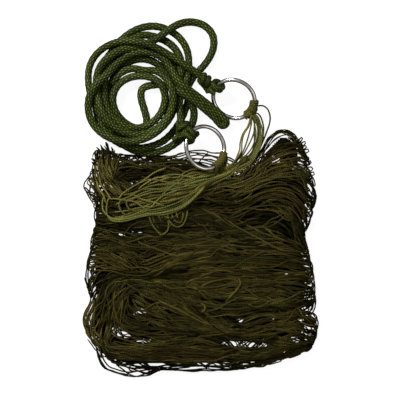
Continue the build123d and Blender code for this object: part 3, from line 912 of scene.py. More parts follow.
def lock(group, a, b, n, tint=(0.3, 0.5), shade=(0.85, 1.1), radius=0.64, depth=(0.0, 2.6), amp=1.1, dive=(1, 1), spill=0.10, cross=0.22, layers=1, lift=0.0, flow=1.0):
    """A lock of strings between two guide lines."""
    if flow:
        flow_from(a, flow)
        flow_from(b, flow)
    a = smooth_through([(x, y, 0) for x, y in a], 4.0)
    b = smooth_through([(x, y, 0) for x, y in b], 4.0)
    m = 14
    ia, ib = np.linspace(0, len(a) - 1, m), np.linspace(0, len(b) - 1, m)
    ga = np.column_stack([np.interp(ia, np.arange(len(a)), a[:, k]) for k in (0, 1)])
    gb = np.column_stack([np.interp(ib, np.arange(len(b)), b[:, k]) for k in (0, 1)])
    f = np.linspace(0, 1, m)
    for layer in range(layers):
        count = n if layer == 0 else max(2, int(n * 0.8))
        for i in range(count):
            u0 = (i + 0.5 + rng.normal(0, 0.4)) / count
            c = rng.normal(0, cross, 3)
            u = np.clip(u0 + np.interp(f, [0, 0.5, 1], c), -spill, 1 + spill)[:, None]
            g = ga * (1 - u) + gb * u
            k0, k1 = rng.uniform(0, 0.07) * (m - 1), (1 - rng.uniform(0, 0.07)) * (m - 1)
            idx = np.linspace(k0, k1, m)
            g = np.column_stack([np.interp(idx, np.arange(m), g[:, k]) for k in (0, 1)])
            g = [tuple(q) for q in g]
            # strings that reach the middle run on past it by different lengths
            for end in (0, -1):
                e = np.array(g[end])
                if abs(e[0] - 200) < 16:
                    v = e - np.array(g[2] if end == 0 else g[-3])
                    v /= np.linalg.norm(v) + 1e-9
                    q = e + v * rng.uniform(4, 40) + np.array([0, rng.normal(0, 2.0)])
                    g = [tuple(q)] + g if end == 0 else g + [tuple(q)]
            # painted shade: each lower layer lies 3 mm deeper and its tint is 0.08 darker
            lay(group, g, radius * rng.uniform(0.88, 1.12), rng.uniform(*depth) + layer * 3.0,
                float(np.clip(rng.uniform(*tint) + rng.normal(0, 0.12) - 0.08 * layer, 0, 1)), rng.uniform(*shade) * rng.uniform(0.5, 1.22), dive, amp, lift=lift)


# ---------------------------------------------------------------- the net's locks
D, N, L = (0.05, 0.32), (0.25, 0.55), (0.45, 0.8)

# upper left
for i in range(120):
    x, y = rng.uniform(112, 206), rng.uniform(156, 186)
    w, turn = rng.uniform(9, 20), rng.normal(0, 0.5)
    bend = rng.normal(0, 3.0)
    c, s = math.cos(turn), math.sin(turn)
    lay("ul", [(x - w * c, y - w * s), (x + bend * s, y + bend * c), (x + w * c, y + w * s)], 0.75, rng.uniform(0, 4.5), rng.uniform(0.02, 0.35), rng.uniform(0.5, 0.95), amp=1.2, wave=9)
lock("ul", [(112, 158), (135, 156), (165, 158), (195, 162)], [(112, 184), (140, 186), (170, 182), (200, 178)], 18, D, (0.6, 0.9), amp=1.6)
lock("ul", [(115, 153), (109, 160), (108, 170), (113, 182), (121, 192), (130, 199)], [(94, 158), (92, 170), (95, 182), (103, 192), (112, 198), (120, 202)], 11, L, (0.9, 1.15), depth=(0, 1.5), layers=1)
lock("ul", [(101, 154), (103, 166), (110, 179), (120, 190), (130, 199)], [(97, 158), (99, 172), (105, 184), (114, 194), (124, 202)], 5, L, (0.9, 1.2), depth=(0, 0.8), layers=1, lift=0.8)
lock("ul", [(118, 152), (112, 157), (111, 168), (114, 178)], [(121, 156), (116, 162), (115, 170), (118, 180)], 4, L, (0.9, 1.1), layers=1, lift=0.8)
lock("ul", [(95, 190), (103, 197), (118, 206), (132, 214)], [(95, 214), (104, 214), (118, 220), (130, 224)], 9, N, layers=2)
for tip, root in [((96, 146.5), (102, 156)), ((99.5, 144), (105, 154)), ((103, 146), (107, 156)), ((107, 143.5), (109, 154)), ((110.5, 147), (112, 156)), ((90.5, 158), (99, 162)), ((89.8, 163), (98, 166)), ((91.2, 169.5), (99, 171)), ((113.5, 149.5), (115, 157)), ((97, 151), (104, 158)), ((105, 142.5), (107, 150)), ((93.5, 153.5), (101, 160)), ((109, 151), (104, 160)), ((101, 150), (109, 157)), ((95, 161), (103, 156))]:
    a, b = np.array(tip, float), np.array(root, float)
    w = np.array([-(b - a)[1], (b - a)[0]]) / np.linalg.norm(b - a) * rng.uniform(-1.2, 1.2)
    for q in (0, 1):
        o = rng.normal(0, 0.5, 2)
        lay("ul", [tuple(a + o), tuple((a + b) / 2 + w + o), tuple(b + o), tuple(b + (b - a) * 0.9 + o * 2)], 0.72, 1.0, 0.1, 0.7, (0, 1), 0.3, z=[4 + 2 * q, 6 + 2 * q, 9, 10], part=False)
lay("ul", [(95, 170), (90, 174), (85, 181), (83, 187), (86, 191.5), (93, 195), (101, 199)], 0.75, 0, 0.45, 0.85, (1, 1), 0.2, z=[9, 6, 3, 2, 2, 4, 9], part=False)
lay("ul", [(93, 176), (90, 184), (89, 192), (91, 198), (97, 200), (104, 199)], 0.75, 0, 0.3, 0.8, (1, 1), 0.2, z=[9, 6, 3, 3, 5, 9], part=False)
for k in range(4):
    lay("ul", [(95 + k, 190), (94.5 + k, 203), (95.5 + k, 215), (96 + k, 228)], 0.75, 2, 0.2, 0.8, (1, 1), 0.8)

# strings that pass under the foot ring to the upper left
for y0, y1, y2, tint in [(150.5, 150.0, 156, 0.5), (153, 152, 158, 0.4), (155, 155.5, 160, 0.3), (158, 158, 162, 0.3), (161, 160, 164, 0.25), (163.5, 162.5, 166, 0.3), (166, 165, 168, 0.25)]:
    lay("ul", [(222, y0 + 5), (212, y0 + 1), (202, y0 - 0.5), (192, y1), (180, y1 + 3), (168, y2), (156, y2 + 3)], 0.75, 0, tint, 0.8, (0, 1), 0.7, z=[6.0, 4.0, 2.5, 2.5, 4.0, 7.0, 9.0], part=False)
lay("ul", [(208, 152), (203, 157), (199, 162), (196, 168)], 0.7, 0, 0.2, 0.8, (0, 1), 0.3, z=[3, 2.5, 3, 4], part=False)
lay("ul", [(186, 152), (178, 154), (170, 158), (160, 160)], 0.7, 0, 0.15, 0.8, (0, 1), 0.3, z=[2, 2, 4, 7], part=False)

# upper right
lock("ur", [(250, 176), (262, 160), (276, 149), (290, 143), (300, 141), (306, 146)], [(252, 184), (266, 170), (284, 160), (300, 156), (310, 160)], 13, (0.2, 0.5))
lock("ur", [(232, 190), (250, 180), (268, 170), (286, 162), (300, 163), (312, 172)], [(226, 202), (246, 190), (264, 182), (282, 178), (298, 182), (314, 192)], 17, (0.3, 0.65))
lock("ur", [(226, 206), (244, 196), (262, 188), (280, 184), (296, 190), (308, 202), (314, 210)], [(236, 214), (252, 206), (268, 200), (280, 200), (292, 206), (302, 218), (309, 230)], 17, (0.3, 0.6))
lock("ur", [(205, 178), (222, 180), (238, 184), (250, 182)], [(200, 204), (218, 205), (232, 206), (246, 200)], 16, D, amp=1.0)
lock("ur", [(257, 158), (263, 146), (270, 135), (278, 130), (286, 129), (293, 132), (299, 140), (304, 150)], [(262, 160), (268, 147), (274, 138), (281, 133), (288, 133), (293, 138), (297, 146), (301, 155)], 6, (0.1, 0.35), (0.7, 0.9), layers=1, depth=(0, 1.5), spill=0, cross=0.05, amp=0.3)
lock("ur", [(262, 158), (272, 150), (282, 145), (292, 142), (300, 144)], [(262, 164), (274, 155), (286, 150), (298, 150), (306, 154)], 6, (0.1, 0.4), (0.7, 0.9), layers=1)
for tip, root in [((305.5, 141), (299, 148)), ((309, 150), (301, 153)), ((309.5, 158), (302, 160)), ((311.5, 161.5), (304, 165)), ((313.5, 168.5), (306, 170)), ((314.5, 173), (306, 175)), ((311, 180), (304, 180)), ((303, 137), (297, 143)), ((307, 146), (300, 150))]:
    a = np.array(tip, float)
    b = np.array(root, float)
    w = np.array([-(b - a)[1], (b - a)[0]]) / np.linalg.norm(b - a) * 1.7
    lay("ur", [tuple(b + w), tuple((a + b) / 2 + w * 1.1), tuple(a + w * 0.7), tuple(a), tuple(a - w * 0.7), tuple((a + b) / 2 - w * 1.1), tuple(b - w)], 0.75, 1.0, 0.1, 0.7, (0, 0), 0.1, z=[6, 6, 5, 4.5, 4, 3.5, 3], part=False)
for k in range(3):
    lay("ur", [(309 - k, 178), (315 - k, 187), (316.5 - 1.2 * k, 200), (313 - k, 211), (311.5 - k, 222), (306.5 - k, 231)], 0.75, 0, 0.1, 0.75, (1, 1), 0.9, wave=8, z=[8 + 2 * k, 4 + 2 * k, 3 + 2 * k, 3 + 2 * k, 4 + 2 * k, 6 + 2 * k], part=False)

# middle left
lock("ml", [(97, 224), (112, 223), (130, 226), (150, 226), (175, 230), (200, 230)], [(92, 238), (110, 236), (130, 240), (150, 238), (175, 238), (200, 240)], 14, D, (0.7, 1.0))
lock("ml", [(105, 212), (125, 214), (150, 215), (175, 214), (198, 208)], [(100, 226), (120, 226), (150, 228), (175, 230), (198, 232)], 15, D, (0.7, 1.0), amp=0.9)
lock("ml", [(92, 240), (112, 238), (135, 240), (160, 236), (180, 240), (200, 238)], [(90, 256), (110, 252), (135, 250), (160, 252), (180, 252), (200, 252)], 16, (0.2, 0.5))
lock("ml", [(128, 262), (148, 254), (168, 246), (190, 236)], [(140, 268), (160, 262), (180, 254), (200, 246)], 8, (0.3, 0.55), depth=(0, 1))
lock("ml", [(92, 250), (106, 250), (122, 258), (138, 270)], [(89, 264), (103, 264), (118, 269), (132, 277)], 14, (0.4, 0.75), depth=(0, 1.2))
lock("ml", [(205, 246), (190, 250), (172, 257), (155, 266), (138, 277)], [(205, 262), (188, 265), (172, 270), (156, 276), (144, 281)], 13, (0.3, 0.55), depth=(0, 1.5))
lock("ml", [(100, 236), (120, 244), (140, 254), (160, 262)], [(100, 246), (118, 252), (136, 262), (150, 270)], 8, (0.3, 0.5), depth=(0, 1.5))
lay("ml", [(133, 238), (150, 246), (168, 252), (186, 262)], 0.75, -0.6, 0.6, 1.1)
lay("ml", [(118, 246), (132, 240), (150, 236), (165, 240)], 0.75, -0.6, 0.5, 1.1)
for pts in [
    [(96, 205), (94, 215), (95, 225), (92, 235), (91, 248), (88, 258), (86, 268), (85, 279), (88, 290)],
    [(97, 222), (94, 234), (92, 246), (90, 256), (89, 268), (87, 280), (90, 292)],
    [(97, 262), (93, 270), (92, 280), (96, 288)],
    [(88, 269), (94, 274), (96, 282), (92, 291)],
    [(90, 257), (95, 262), (93, 268), (89, 272), (92, 277), (96, 281)],
]:
    lay("ml", pts, 0.75, 0, 0.12, 0.75, (0, 1), 0.5, z=[6, 5, 4, 4, 5, 6], part=False)

# middle right
lock("mr", [(196, 206), (212, 212), (226, 216), (242, 212), (258, 210)], [(196, 216), (212, 222), (232, 232), (252, 238), (268, 240), (290, 242)], 14, (0.1, 0.4))
lock("mr", [(196, 216), (214, 222), (234, 226), (262, 222), (284, 222)], [(196, 240), (215, 238), (240, 242), (262, 244), (284, 246)], 20, (0.1, 0.42))
lock("mr", [(268, 202), (282, 202), (294, 210), (304, 224), (309, 236)], [(262, 208), (272, 210), (283, 218), (291, 230), (298, 242), (305, 248)], 15, (0.15, 0.5))
lock("mr", [(196, 238), (220, 238), (245, 240), (272, 240), (290, 244), (309, 248)], [(196, 262), (220, 260), (245, 262), (272, 262), (290, 264), (312, 266)], 28, (0.3, 0.6))
lay("mr", [(203, 210), (220, 217), (240, 228), (262, 240), (276, 248), (300, 252)], 0.75, -0.7, 0.6, 1.15)
lay("mr", [(235, 218), (252, 228), (270, 236), (286, 240)], 0.75, -0.7, 0.5, 1.1)
lay("mr", [(196, 207), (210, 213), (228, 224), (244, 232)], 0.75, -0.5, 0.55, 1.1)
lay("mr", [(258, 224), (270, 232), (282, 240), (296, 244)], 0.75, -0.5, 0.65, 1.1)
for k in range(3):
    lay("mr", [(307 - k, 228), (304.5 - k, 238), (308 - k, 247), (310.5 - k, 258), (313 - k, 268), (312.5 - k, 278)], 0.75, 0, 0.1, 0.75, (1, 1), 0.7, wave=7, z=[6 + 2 * k, 3 + 2 * k, 3 + 2 * k, 3 + 2 * k, 4 + 2 * k, 6 + 2 * k], part=False)

# lower left
lock("ll", [(135, 276), (120, 272), (106, 280), (97, 292), (92, 304), (90, 316)], [(140, 284), (130, 284), (122, 292), (117, 304), (114, 318), (112, 330)], 22, (0.05, 0.35), (0.6, 0.95))
lock("ll", [(127, 284), (121, 290), (117, 300), (117, 312), (119, 320)], [(132, 286), (127, 294), (123, 304), (121, 316), (122, 322)], 7, (0.25, 0.5), (0.7, 1.0), depth=(0, 1.6), layers=1)
lock("ll", [(100, 286), (93, 300), (86, 310), (82.5, 319), (84.5, 331), (89, 341), (96, 349), (101, 356)], [(104, 300), (97, 310), (92, 320), (92, 331), (97, 340), (104, 345), (108, 350)], 11, (0.4, 0.75), (0.9, 1.15))
lock("ll", [(135, 280), (155, 284), (178, 296), (200, 310)], [(135, 292), (150, 298), (170, 308), (190, 318), (205, 324)], 17, (0.3, 0.55))
lock("ll", [(150, 276), (170, 272), (200, 266)], [(152, 285), (172, 288), (200, 300)], 18, (0.3, 0.55))
lock("ll", [(122, 296), (122, 308), (132, 318), (150, 324), (175, 326), (200, 328)], [(116, 300), (114, 318), (124, 330), (145, 334), (170, 336), (200, 340)], 16, (0.1, 0.35), (0.7, 0.95))
lock("ll", [(130, 294), (150, 304), (175, 314), (200, 322)], [(126, 312), (150, 320), (175, 328), (200, 332)], 14, (0.25, 0.5))
lock("ll", [(98, 352), (102, 342), (104, 332), (108, 322)], [(104, 352), (108, 344), (112, 334), (114, 326)], 6, (0.45, 0.75), depth=(0, 1))
lay("ll", [(100, 318), (97, 325), (94, 330), (98, 335), (104, 340)], 0.75, -0.8, 0.7, 1.1)
lay("ll", [(146, 290), (160, 300), (178, 308), (196, 318), (210, 326)], 0.75, -0.8, 0.7, 1.15)
lay("ll", [(176, 302), (190, 310), (204, 320), (216, 328)], 0.75, -0.8, 0.6, 1.15)
lay("ll", [(84, 278), (87, 290), (90, 298), (88, 306), (84, 313), (82, 320)], 0.75, 0, 0.15, 0.8, (1, 0), 0.4, z=[5, 4, 4, 3.5, 3, 3], part=False)

# lower right
lock("lr", [(196, 262), (220, 260), (250, 262), (280, 266), (313, 266)], [(196, 284), (220, 284), (250, 284), (280, 284), (314, 286)], 28, (0.3, 0.62))
lock("lr", [(196, 284), (220, 286), (250, 286), (280, 286), (312, 290)], [(200, 306), (235, 308), (270, 304), (294, 308), (304, 311)], 26, (0.3, 0.6))
lock("lr", [(228, 304), (252, 300), (280, 302), (300, 306)], [(232, 328), (258, 318), (276, 315), (296, 313), (306, 313)], 19, (0.35, 0.62))
lock("lr", [(232, 326), (258, 322), (280, 319), (300, 320), (306, 324)], [(232, 340), (260, 338), (284, 334), (302, 332), (307, 336)], 17, (0.25, 0.5))
lock("lr", [(196, 300), (212, 308), (230, 322), (240, 332)], [(196, 330), (210, 334), (224, 338), (236, 342)], 20, (0.2, 0.5))
for pts, tint in [
    ([(232, 274), (240, 281), (236, 290), (229, 298), (225, 304)], 0.75),
    ([(195, 299), (202, 303), (206, 308), (202, 311), (195, 312)], 0.7),
    ([(196, 288), (206, 284), (218, 280), (232, 278), (240, 284), (250, 286)], 0.55),
    ([(260, 292), (275, 300), (290, 296), (304, 290)], 0.5),
    ([(240, 300), (256, 306), (272, 300), (288, 296)], 0.5),
    ([(200, 312), (216, 308), (232, 300), (250, 294)], 0.45),
]:
    lay("lr", pts, 0.75, -0.8, tint, 1.15)
for pts in [
    [(310, 262), (314, 275), (313.5, 290), (316, 300), (314.5, 312), (310, 317)],
    [(312, 268), (315, 282), (315, 294), (314, 304), (311, 313)],
    [(303, 283), (310, 290), (312.5, 300), (309, 308), (303, 312)],
    [(310, 287), (306, 298), (304, 310)],
    [(314.5, 291), (308, 300), (301, 309)],
    [(313, 305), (306, 310), (299, 314)],
    [(294, 315), (305, 312), (313, 314), (318.3, 321), (318, 329), (315, 334)],
    [(298, 318), (308, 317), (313.5, 322), (316, 330), (316.5, 338)],
    [(302, 322), (309, 323), (312, 330), (312.5, 336), (308, 341)],
    [(302, 328), (306.5, 328), (309, 333), (308, 338)],
    [(300, 314), (308, 314.5), (315, 320), (317, 329), (317, 338), (313, 346)],
    [(303, 343), (312, 340), (317, 333)],
    [(300, 346), (310, 343.5), (317, 337)],
]:
    lay("lr", pts, 0.78, 0, 0.1, 0.75, (1, 1), 0.3, z=[7, 5, 4, 3.5, 4, 5], part=False)

# bottom
lock("bo", [(108, 340), (125, 343), (150, 345), (180, 342), (210, 344), (232, 349)], [(104, 352), (125, 356), (150, 359), (180, 361), (210, 359), (232, 359)], 24, (0.25, 0.55))
lock("bo", [(130, 352), (160, 354), (190, 354), (220, 354)], [(132, 361), (160, 362), (190, 363), (222, 364)], 10, (0.25, 0.5))
lock("bo", [(228, 348), (245, 349), (262, 349), (285, 340), (303, 342), (313, 345)], [(228, 360), (250, 359), (270, 356), (290, 352), (308, 348)], 18, (0.25, 0.5))
lock("bo", [(150, 338), (175, 338), (200, 338), (222, 339)], [(150, 346), (175, 350), (200, 350), (222, 352)], 12, (0.25, 0.5))
lock("bo", [(266, 336), (280, 333), (296, 334), (310, 342)], [(262, 350), (280, 350), (296, 350), (309, 349)], 14, (0.2, 0.45))
lock("bo", [(230, 358), (250, 358), (270, 355), (290, 352), (308, 346)], [(228, 371), (252, 367.5), (270, 363), (290, 357.5), (304, 352), (314, 345)], 13, (0.15, 0.45))
for pts in [
    [(95, 349), (99, 360), (103, 368), (110, 372), (120, 375), (130, 377.5), (142, 376), (152, 373), (163, 370), (185, 371), (205, 370), (225, 371)],
    [(99, 350), (102, 358), (108, 366), (118, 371), (130, 373), (143, 372), (156, 370), (175, 371), (200, 372), (224, 371.5), (245, 369)],
    [(108, 352), (113, 362), (120, 369), (128, 375), (138, 377.3), (150, 375), (160, 371), (175, 369), (190, 369)],
    [(104, 352), (110, 360), (120, 366), (135, 369), (150, 368), (165, 366.5), (185, 367), (205, 367), (222, 369), (240, 369)],
    [(112, 352), (120, 360), (132, 364), (150, 363), (170, 362.5), (186, 362)],
    [(134, 360), (131, 366), (128, 370), (136, 372), (148, 371)],
    [(150, 362), (165, 360), (185, 361), (205, 361.5), (225, 365), (240, 370)],
    [(224, 371), (245, 369.5), (262, 366.5), (280, 361), (298, 355.5), (308, 350), (315, 343), (317, 335)],
    [(196, 363), (212, 363), (228, 368), (240, 370)],
    [(97, 352), (100, 362), (106, 370), (116, 374), (128, 376)],
    [(130, 358), (142, 366), (158, 370), (176, 371), (200, 373)],
    [(112, 355), (122, 366), (134, 371), (146, 375), (156, 373)],
]:
    lay("bo", pts, 0.78, 0, 0.12, 0.8, (1, 1), 0.35, z=[6, 4, 3, 2.5, 2.5, 3, 3, 4], part=False)

# ---------------------------------------------------------------- strings that fill the flow between the locks
for pts in [
    [(112, 160), (150, 160), (190, 164)], [(112, 170), (150, 172), (190, 172)], [(110, 182), (150, 184), (190, 182)],
    [(104, 196), (140, 198), (180, 192), (200, 186)], [(100, 208), (140, 210), (180, 204), (210, 192)], [(100, 218), (140, 219), (180, 216), (210, 206)],
    [(200, 214), (240, 214), (270, 214)], [(300, 180), (305, 200), (305, 225)], [(305, 225), (300, 240)],
    [(92, 250), (91, 262), (90, 280)], [(300, 325), (306, 334), (304, 344)],
]:
    flow_from(pts, 1.0)
F = np.vstack(FLOW)
field = np.zeros((len(gp), 2))
for i in range(0, len(gp), 1500):
    d2 = ((gp[i : i + 1500, None] - F[None, :, :2]) ** 2).sum(-1)
    w = np.exp(-d2 / (2 * 6.5**2)) + 1e-9 / (1 + d2)
    field[i : i + 1500] = w @ F[:, 2:]
ftheta = np.stack([field[:, 0].reshape(gx.shape), field[:, 1].reshape(gx.shape)], -1)
ftheta /= np.linalg.norm(ftheta, axis=-1, keepdims=True) + 1e-12


def sample(grid, x, y):
    i = np.clip((y - GY[0]) / 3.0, 0, len(GY) - 1.001)
    j = np.clip((x - GX[0]) / 3.0, 0, len(GX) - 1.001)
    a, b = int(i), int(j)
    u, v = i - a, j - b
    return (grid[a, b] * (1 - u) * (1 - v) + grid[a + 1, b] * u * (1 - v) + grid[a, b + 1] * (1 - u) * v + grid[a + 1, b + 1] * u * v)


def stream(x, y, length, sway):
    """A line through a plan point that follows the flow both ways."""
    out = []
    turned = [False, False]
    for way in (0, 1):
        px, py, last = x, y, None
        pts = []
        n = int(length / 2 / 3.0)
        noise = wobble(n + 2, 3.0, 15.0, sway, rng)
        for k in range(n):
            c, sn = sample(ftheta, px, py)
            a = 0.5 * math.atan2(sn, c) + noise[k]
            d = np.array([math.cos(a), math.sin(a)])
            if last is None:
                d = d if way == 0 else -d
            elif d @ last < 0:
                d = -d
            px, py = px + 3.0 * d[0], py + 3.0 * d[1]
            if sample(inner, px, py) < 1.2:
                turned[way] = True
                break
            pts.append((px, py))
            last = d
        if turned[way] and last is not None and len(pts) > 3:
            # the string turns back under the edge of the bundle
            e, s2 = np.array(pts[-1]), np.array([-last[1], last[0]]) * (1 if rng.random() < 0.5 else -1)
            w = rng.uniform(1.0, 3.2)
            o = rng.uniform(0.5, 2.6)
            back = rng.uniform(6, 16)
            for q in (e + last * o, e + last * (o + 0.9) + s2 * w, e + last * o * 0.6 + s2 * 2 * w, e - last * back * 0.5 + s2 * 2.4 * w, e - last * back + s2 * 2.6 * w):
                pts.append(tuple(q))
        out.append(pts)
    line = out[1][::-1] + [(x, y)] + out[0]
    return line, turned[1], turned[0]


def where(x, y):
    if y < 206:
        return "ul" if x < 205 else "ur"
    if y < 268:
        return "ml" if x < 200 else "mr"
    if y < 335:
        return "ll" if x < 200 else "lr"
    return "bo"


def fill(count, depth, tint, shade, length, sway, seed_box=(86, 132, 316, 372)):
    done = 0
    while done < count:
        x, y = rng.uniform(seed_box[0], seed_box[2]), rng.uniform(seed_box[1], seed_box[3])
        if sample(inner, x, y) < 2.5:
            continue
        if y < 174 and 184 < x < 240:
            continue
        line, t0, t1 = stream(x, y, rng.uniform(*length), sway)
        if len(line) < 6:
            continue
        d = rng.uniform(*depth)
        deep = [0.0] * 9
        if t0:
            deep[0] = 6.0
        if t1:
            deep[-1] = 6.0
        dark = 0.7 if x < 200 and (y < 186 or 212 < y < 240) else 1.0
        lay(where(x, y), line, 0.62 * rng.uniform(0.85, 1.15), d, rng.uniform(*tint), rng.uniform(*shade) * dark,
            (0 if t0 else 1, 0 if t1 else 1), 0.35, deep=deep)
        done += 1


# painted shade: the deep layer (3.2 to 6.8 mm down) is given darker tints and shades than the layer over it
fill(430, (3.2, 6.8), (0.0, 0.22), (0.30, 0.65), (60, 170), 0.22)
fill(230, (0.2, 3.0), (0.05, 0.75), (0.45, 1.30), (130, 270), 0.30)

# short strings that cross the rest
for i in range(60):
    x, y = rng.uniform(96, 308), rng.uniform(160, 366)
    if sample(inner, x, y) < 8 or (y < 176 and 184 < x < 240):
        continue
    c, sn = sample(ftheta, x, y)
    a = 0.5 * math.atan2(sn, c) + rng.choice([-1, 1]) * rng.uniform(0.15, 0.6)
    w, bend = rng.uniform(16, 36), rng.normal(0, 6)
    d, e = np.array([math.cos(a), math.sin(a)]), np.array([-math.sin(a), math.cos(a)])
    o = np.array([x, y])
    lay(where(x, y), [tuple(o - d * w), tuple(o - d * w * 0.3 + e * bend), tuple(o + d * w * 0.4 + e * bend * 0.6), tuple(o + d * w)],
        0.62, rng.uniform(-0.6, 0.9), rng.uniform(0.2, 0.7), rng.uniform(0.7, 1.1), (1.4, 1.4), 1.2, wave=14)

NODES = {
    "ul": "net_lobe_upper_left",
    "ur": "net_lobe_upper_right",
    "ml": "net_lobe_middle_left",
    "mr": "net_lobe_middle_right",
    "ll": "net_lobe_lower_left",
    "lr": "net_lobe_lower_right",
    "bo": "net_lobe_bottom",
}

# the inner folds that the outer strings cover: a solid sheet coloured with painted shade
def inner_folds():
    g = 1.8
    xs, ys = np.arange(84, 320, g), np.arange(132, 376, g)
    X, Y = np.meshgrid(xs, ys)
    p = np.column_stack([X.ravel(), Y.ravel()])
    d = edge_dist(p)
    keep = d > 7.0
    for cx, cy, rx, ry, turn in GAPS:
        c, s = math.cos(math.radians(-turn)), math.sin(math.radians(-turn))
        dx, dy = p[:, 0] - cx, p[:, 1] - cy
        u, v = (dx * c - dy * s) / (rx + 1.2), (dx * s + dy * c) / (ry + 1.2)
        keep &= np.hypot(u, v) > 1
    keep &= ~((p[:, 1] < 174) & (p[:, 0] > 184) & (p[:, 0] < 240))
    h = height(p) - 8.0
    nx = len(xs)
    K = keep.reshape(X.shape)
    cell = K[:-1, :-1] & K[1:, :-1] & K[:-1, 1:] & K[1:, 1:]
    used = np.zeros(X.shape, bool)
    for a in (0, 1):
        for b in (0, 1):
            used[a : X.shape[0] - 1 + a, b : X.shape[1] - 1 + b] |= cell
    idx = -np.ones(X.shape, int)
    idx[used] = np.arange(used.sum())
    n = int(used.sum())
    P = p.reshape(*X.shape, 2)[used]
    Z = np.clip(h.reshape(X.shape)[used], 1.4, 24)
    top = plan(np.column_stack([P, Z]))
    bot = plan(np.column_stack([P, np.full(n, 0.5)]))
    q = []
    R, C = cell.shape
    for i in range(R):
        for j in range(C):
            if not cell[i, j]:
                continue
            a, b, c, d = idx[i, j], idx[i, j + 1], idx[i + 1, j + 1], idx[i + 1, j]
            q.append((a, d, c, b))
            q.append((a + n, b + n, c + n, d + n))
            if j == 0 or not cell[i, j - 1]:
                q.append((a, a + n, d + n, d))
            if j == C - 1 or not cell[i, j + 1]:
                q.append((b, c, c + n, b + n))
            if i == 0 or not cell[i - 1, j]:
                q.append((a, b, b + n, a + n))
            if i == R - 1 or not cell[i + 1, j]:
                q.append((d, d + n, c + n, c))
    v = np.vstack([top, bot])
    uv = np.column_stack([v[:, 0] * 200, v[:, 1] * 40])
    # painted shade: the darkest net tint at a quarter brightness
    tone = np.column_stack([np.full(2 * n, 0.05), np.full(2 * n, 0.25), np.full(2 * n, 0.5)])
    return make_mesh("net_inner_folds", v, np.array(q), np.zeros((0, 3), int), uv, tone, NET)


core = inner_folds()
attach(core, BODY)
for key, node in NODES.items():
    ob = groups[key].build(node + "_strings", NET)
    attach(ob, BODY)
    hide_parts(node)

# ---------------------------------------------------------------- the clew strings
cs = Strings(7)
cf = Strings(7)


def clew(bag, points, radius=0.85, tint=0.5, shade=1.0, amp=0.5, lift=1.2, head=None, drop=True, flat=None, wave=26.0):
    """A clew string: out of a hitch, down to the net and over it. head gives the heights of its free first points."""
    p = smooth_through([(x, y, 0) for x, y in points], 2.4)
    n = len(p)
    t = np.gradient(p[:, :2], axis=0)
    t /= np.linalg.norm(t, axis=1)[:, None] + 1e-9
    side = np.column_stack([-t[:, 1], t[:, 0]])
    s = np.arange(n) * 2.4
    w = wobble(n, 2.4, wave, amp, rng)
    if head:
        w *= np.clip(s / 18.0, 0, 1)
    p[:, :2] += side * w[:, None]
    h = np.clip(height(p), 3, 26) + lift + wobble(n, 2.4, 20.0, 0.35, rng)
    if flat is not None:
        h = np.full(n, flat) + wobble(n, 2.4, 20.0, 0.3, rng)
    if head:
        z0, length = head
        k = np.clip(s / length, 0, 1)
        k = k * k * (3 - 2 * k)
        h = z0 * (1 - k) + h * k
    if drop:
        h -= 3.5 * np.clip(1 - s[::-1] / 8.0, 0, 1) ** 2
    h = np.clip(soften(h.copy(), 3), radius + 0.2, 29.1)
    line = plan(np.column_stack([p[:, :2], h]))
    for ring in (HEAD, FOOT):
        line = off_wire(line, ring, 0.0021 + radius / 1000 + 0.0004, fine=True)
    line[:, 2] = np.clip(line[:, 2], (radius + 0.1) / 1000, 0.0292)
    bag.add(line, radius / 1000, tint, shade)


# the free strings under the head hitches, then over the net to the left
STEM = [
    [(251, 117), (249, 126), (244, 134), (241.8, 143), (241, 152)],
    [(252, 118), (251.5, 127), (248, 140), (243, 152), (237, 160)],
    [(253, 117), (255, 124), (255.5, 136), (252, 148), (244, 158)],
    [(254, 117), (258, 127), (258.5, 138), (255, 150), (246, 162)],
    [(256, 114), (261, 124), (261, 136), (257.5, 149), (249, 161)],
    [(257, 112), (263, 121), (264.5, 132), (261, 145), (252, 159)],
    [(255, 118), (256.5, 128), (256, 140), (252, 152), (242, 163)],
    [(254.5, 116), (260, 126), (260.5, 138), (257, 151), (247, 164)],
]
ways = []
upper = np.array([(232, 165), (218, 171), (204, 174), (190, 176), (175, 178.5), (160, 182), (145, 185), (130, 192), (116, 199)], float)
lower = np.array([(230, 175), (214, 183), (200, 190.5), (187, 204), (172, 211.5), (156, 214.3), (145, 215.3), (127, 219.6), (112, 220.3)], float)
N = 35
for i in range(N):
    free = i % 5 < 2
    stem = STEM[(i * 3 // 5) % len(STEM)] if free else [(246 + rng.uniform(-3, 3), 158 + rng.uniform(-3, 3)), (240, 163)]
    j = rng.normal(0, 1.0, 2)
    u0 = (i + 0.5) / N
    # steeper spread: some stay together in bands
    u0 = 0.5 + 0.5 * math.copysign(abs(2 * u0 - 1) ** 0.85, 2 * u0 - 1)
    c = rng.normal(0, 0.09, 3)
    u = np.clip(u0 + np.interp(np.linspace(0, 1, len(upper)), [0, 0.5, 1], c), -0.02, 1.02)[:, None]
    way = upper * (1 - u) + lower * u
    stop = rng.integers(6, len(upper) + 1)
    pts = [(x + j[0], y + j[1] * 0.5) for x, y in stem] + [tuple(q) for q in way[:stop]]
    if free:
        pts = [(251 + rng.uniform(-2.5, 4.5), 111 + rng.uniform(-4, 2.5))] + pts
    clew(cs, pts, 0.80 * rng.uniform(0.9, 1.08), rng.uniform(0.45, 0.95) if free else rng.uniform(0.1, 0.85), rng.uniform(0.95, 1.15) if free else rng.uniform(0.4, 1.2), 0.9, rng.uniform(0.4, 3.2),
         head=(rng.uniform(9.0, 15.0), 42) if free else (10.0, 14))

# the loose loop beside them
clew(cs, [(258, 106), (263, 105.8), (268, 109.5), (270.3, 117), (269.5, 124), (267, 131), (264, 139), (259, 150), (252, 160), (244, 168), (234, 176)], 0.85, 0.4, 0.9, 0.1, 2.5, head=(15, 40), drop=True)

